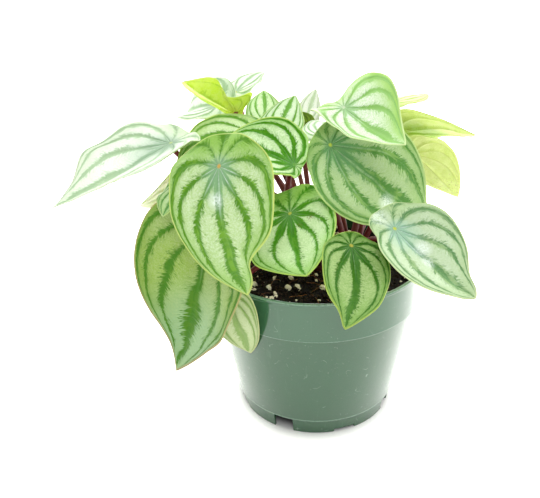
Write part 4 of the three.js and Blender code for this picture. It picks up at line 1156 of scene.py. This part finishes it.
def soilTop(x, y):
    # the same soft waves as on the CAD soil
    a = math.sin(x * 0.21 + 0.7) * math.cos(y * 0.17 - 0.4)
    b = math.sin(x * 0.43 - y * 0.37 + 1.9)
    return soilSpec["level"] + soilSpec["lump"] * (0.6 * a + 0.4 * b)


def roughSoil(x, y):
    pitch = soilSpec["roughPitch"]
    return soilTop(x, y) + soilSpec["rough"] * noise.fractal(Vector((x * pitch, y * pitch, 3.1)), 1.0, 2.1, 5)


def soilMaterial(name, colours):
    dark, mid, light = colours
    material, tree = newMaterial(name)
    place = objectPlace(tree)
    fine = placeGroup(tree, surfaceGrain, Place=place, Scale=1500, Cover=0.45, Soft=0.1)
    broad = placeGroup(tree, surfaceGrain, Place=place, Scale=260, Cover=0.42, Soft=0.15)
    skin = tint(tree, paint(dark), broad["Spots"], 1.0, mid)
    skin = tint(tree, skin, fine["Spots"], 0.5, light)
    setShader(tree, {"Base Color": skin, "Specular IOR Level": 0.15,
                     "Roughness": plus(tree, 0.6, times(tree, fine["Grain"], 0.35)),
                     "Normal": bump(tree, fine["Grain"], 0.0004, 0.8)})
    return material


def soilSpot(draw, limit):
    radius = limit * math.sqrt(draw.random())
    angle = draw.uniform(0, 2 * math.pi)
    return radius * math.cos(angle), radius * math.sin(angle)


def makeSoil(s, topRadius):
    # the root ball follows the inside of the pot, with a step out at its band
    inset = potSpec["wall"] + s["gap"]
    low, lowRadius = potSpec["floorUnder"] + inset, potSpec["bodyLow"] - inset
    bandLow = potSpec["bandLowHeight"] - s["underBand"]
    bandInner = potOuter(bandLow) - inset
    footTop = potSpec["footHeight"] + potSpec["footStep"] + s["footGap"]
    outline = [(lowRadius - s["bevel"], low), (lowRadius, footTop), (bandInner, bandLow),
               (bandInner + s["bandStep"], potSpec["bandLowHeight"] + s["overBand"])]
    outline += [(topRadius * (1 - ring / s["rings"]), None) for ring in range(s["rings"])]
    points = []
    for r, z in outline:
        for x, y in circle(s["sides"]):
            points.append((r * x, r * y, roughSoil(r * x, r * y) if z is None else z))
    faces = ringFaces(0, len(outline), s["sides"])
    last = (len(outline) - 1) * s["sides"]
    points += [(0, 0, low), (0, 0, roughSoil(0, 0))]
    for k in range(s["sides"]):
        after = (k + 1) % s["sides"]
        faces += [(len(points) - 2, after, k), (len(points) - 1, last + k, last + after)]
    soil = newPiece("pottingSoil", points, faces, [soilMaterial("darkSoil", s["colours"])], "soil")
    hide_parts("soil")


def addLump(shape, centre, size, stretch, uneven, draw, points, faces):
    base = len(points)
    angle = draw.uniform(0, 6.28)
    turn = Matrix.Rotation(angle, 3, Vector((draw.uniform(-1, 1), draw.uniform(-1, 1), 1)).normalized())
    shift = Vector((draw.uniform(0, 90), draw.uniform(0, 90), draw.uniform(0, 90)))
    for corner in shape.verts:
        bulge = 1 + uneven * noise.noise(corner.co * 1.7 + shift)
        points.append(centre + turn @ (corner.co * stretch) * size * bulge)
    faces.extend(tuple(base + corner.index for corner in face.verts) for face in shape.faces)


def scatterLumps(name, materialName, spec, limit, draw):
    shape = bmesh.new()
    bmesh.ops.create_icosphere(shape, subdivisions=spec["detail"], radius=1.0)
    shape.verts.index_update()
    points, faces = [], []
    for _ in range(spec["count"]):
        x, y = soilSpot(draw, limit - spec["inset"])
        size = draw.uniform(*spec["size"]) * draw.uniform(spec["least"], 1)
        stretch = Vector((1, draw.uniform(*spec["wide"]), draw.uniform(*spec["tall"])))
        centre = Vector((x, y, roughSoil(x, y) + size * spec["raised"]))
        addLump(shape, centre, size, stretch, spec["uneven"], draw, points, faces)
    shape.free()
    newPiece(name, points, faces, [soilMaterial(materialName, spec["colours"])], "soil", smooth=False)


def scatterFibres(name, materialName, spec, limit, draw):
    points, faces = [], []
    for _ in range(spec["count"]):
        x, y = soilSpot(draw, limit - spec["inset"])
        heading = draw.uniform(0, 2 * math.pi)
        bend = draw.uniform(-spec["bend"], spec["bend"])
        line = []
        for k in range(spec["points"]):
            arch = spec["arch"] * math.sin(math.pi * k / (spec["points"] - 1))
            line.append(Vector((x, y, roughSoil(x, y) + spec["raised"] + arch)))
            x, y = x + math.cos(heading) * spec["step"], y + math.sin(heading) * spec["step"]
            heading += bend
            if math.hypot(x, y) > limit - spec["limit"]:
                break
        if len(line) >= spec["fewest"]:
            tube(line, [draw.uniform(*spec["radius"])] * len(line), spec["sides"], points, faces)
    newPiece(name, points, faces, [soilMaterial(materialName, spec["colours"])], "soil")


soilRadius = potOuter(soilSpec["level"]) - potSpec["wall"] - soilSpec["gap"] - soilSpec["rimGap"]
soilDraw = random.Random(soilSpec["seed"])
makeSoil(soilSpec, soilRadius)
scatterLumps("soilCrumbs", "barkCrumbs", crumbSpec, soilRadius, soilDraw)
scatterLumps("perliteGrains", "perlite", perliteSpec, soilRadius, soilDraw)
scatterFibres("soilFibres", "brownFibre", fibreSpec, soilRadius, soilDraw)
print("soil made")
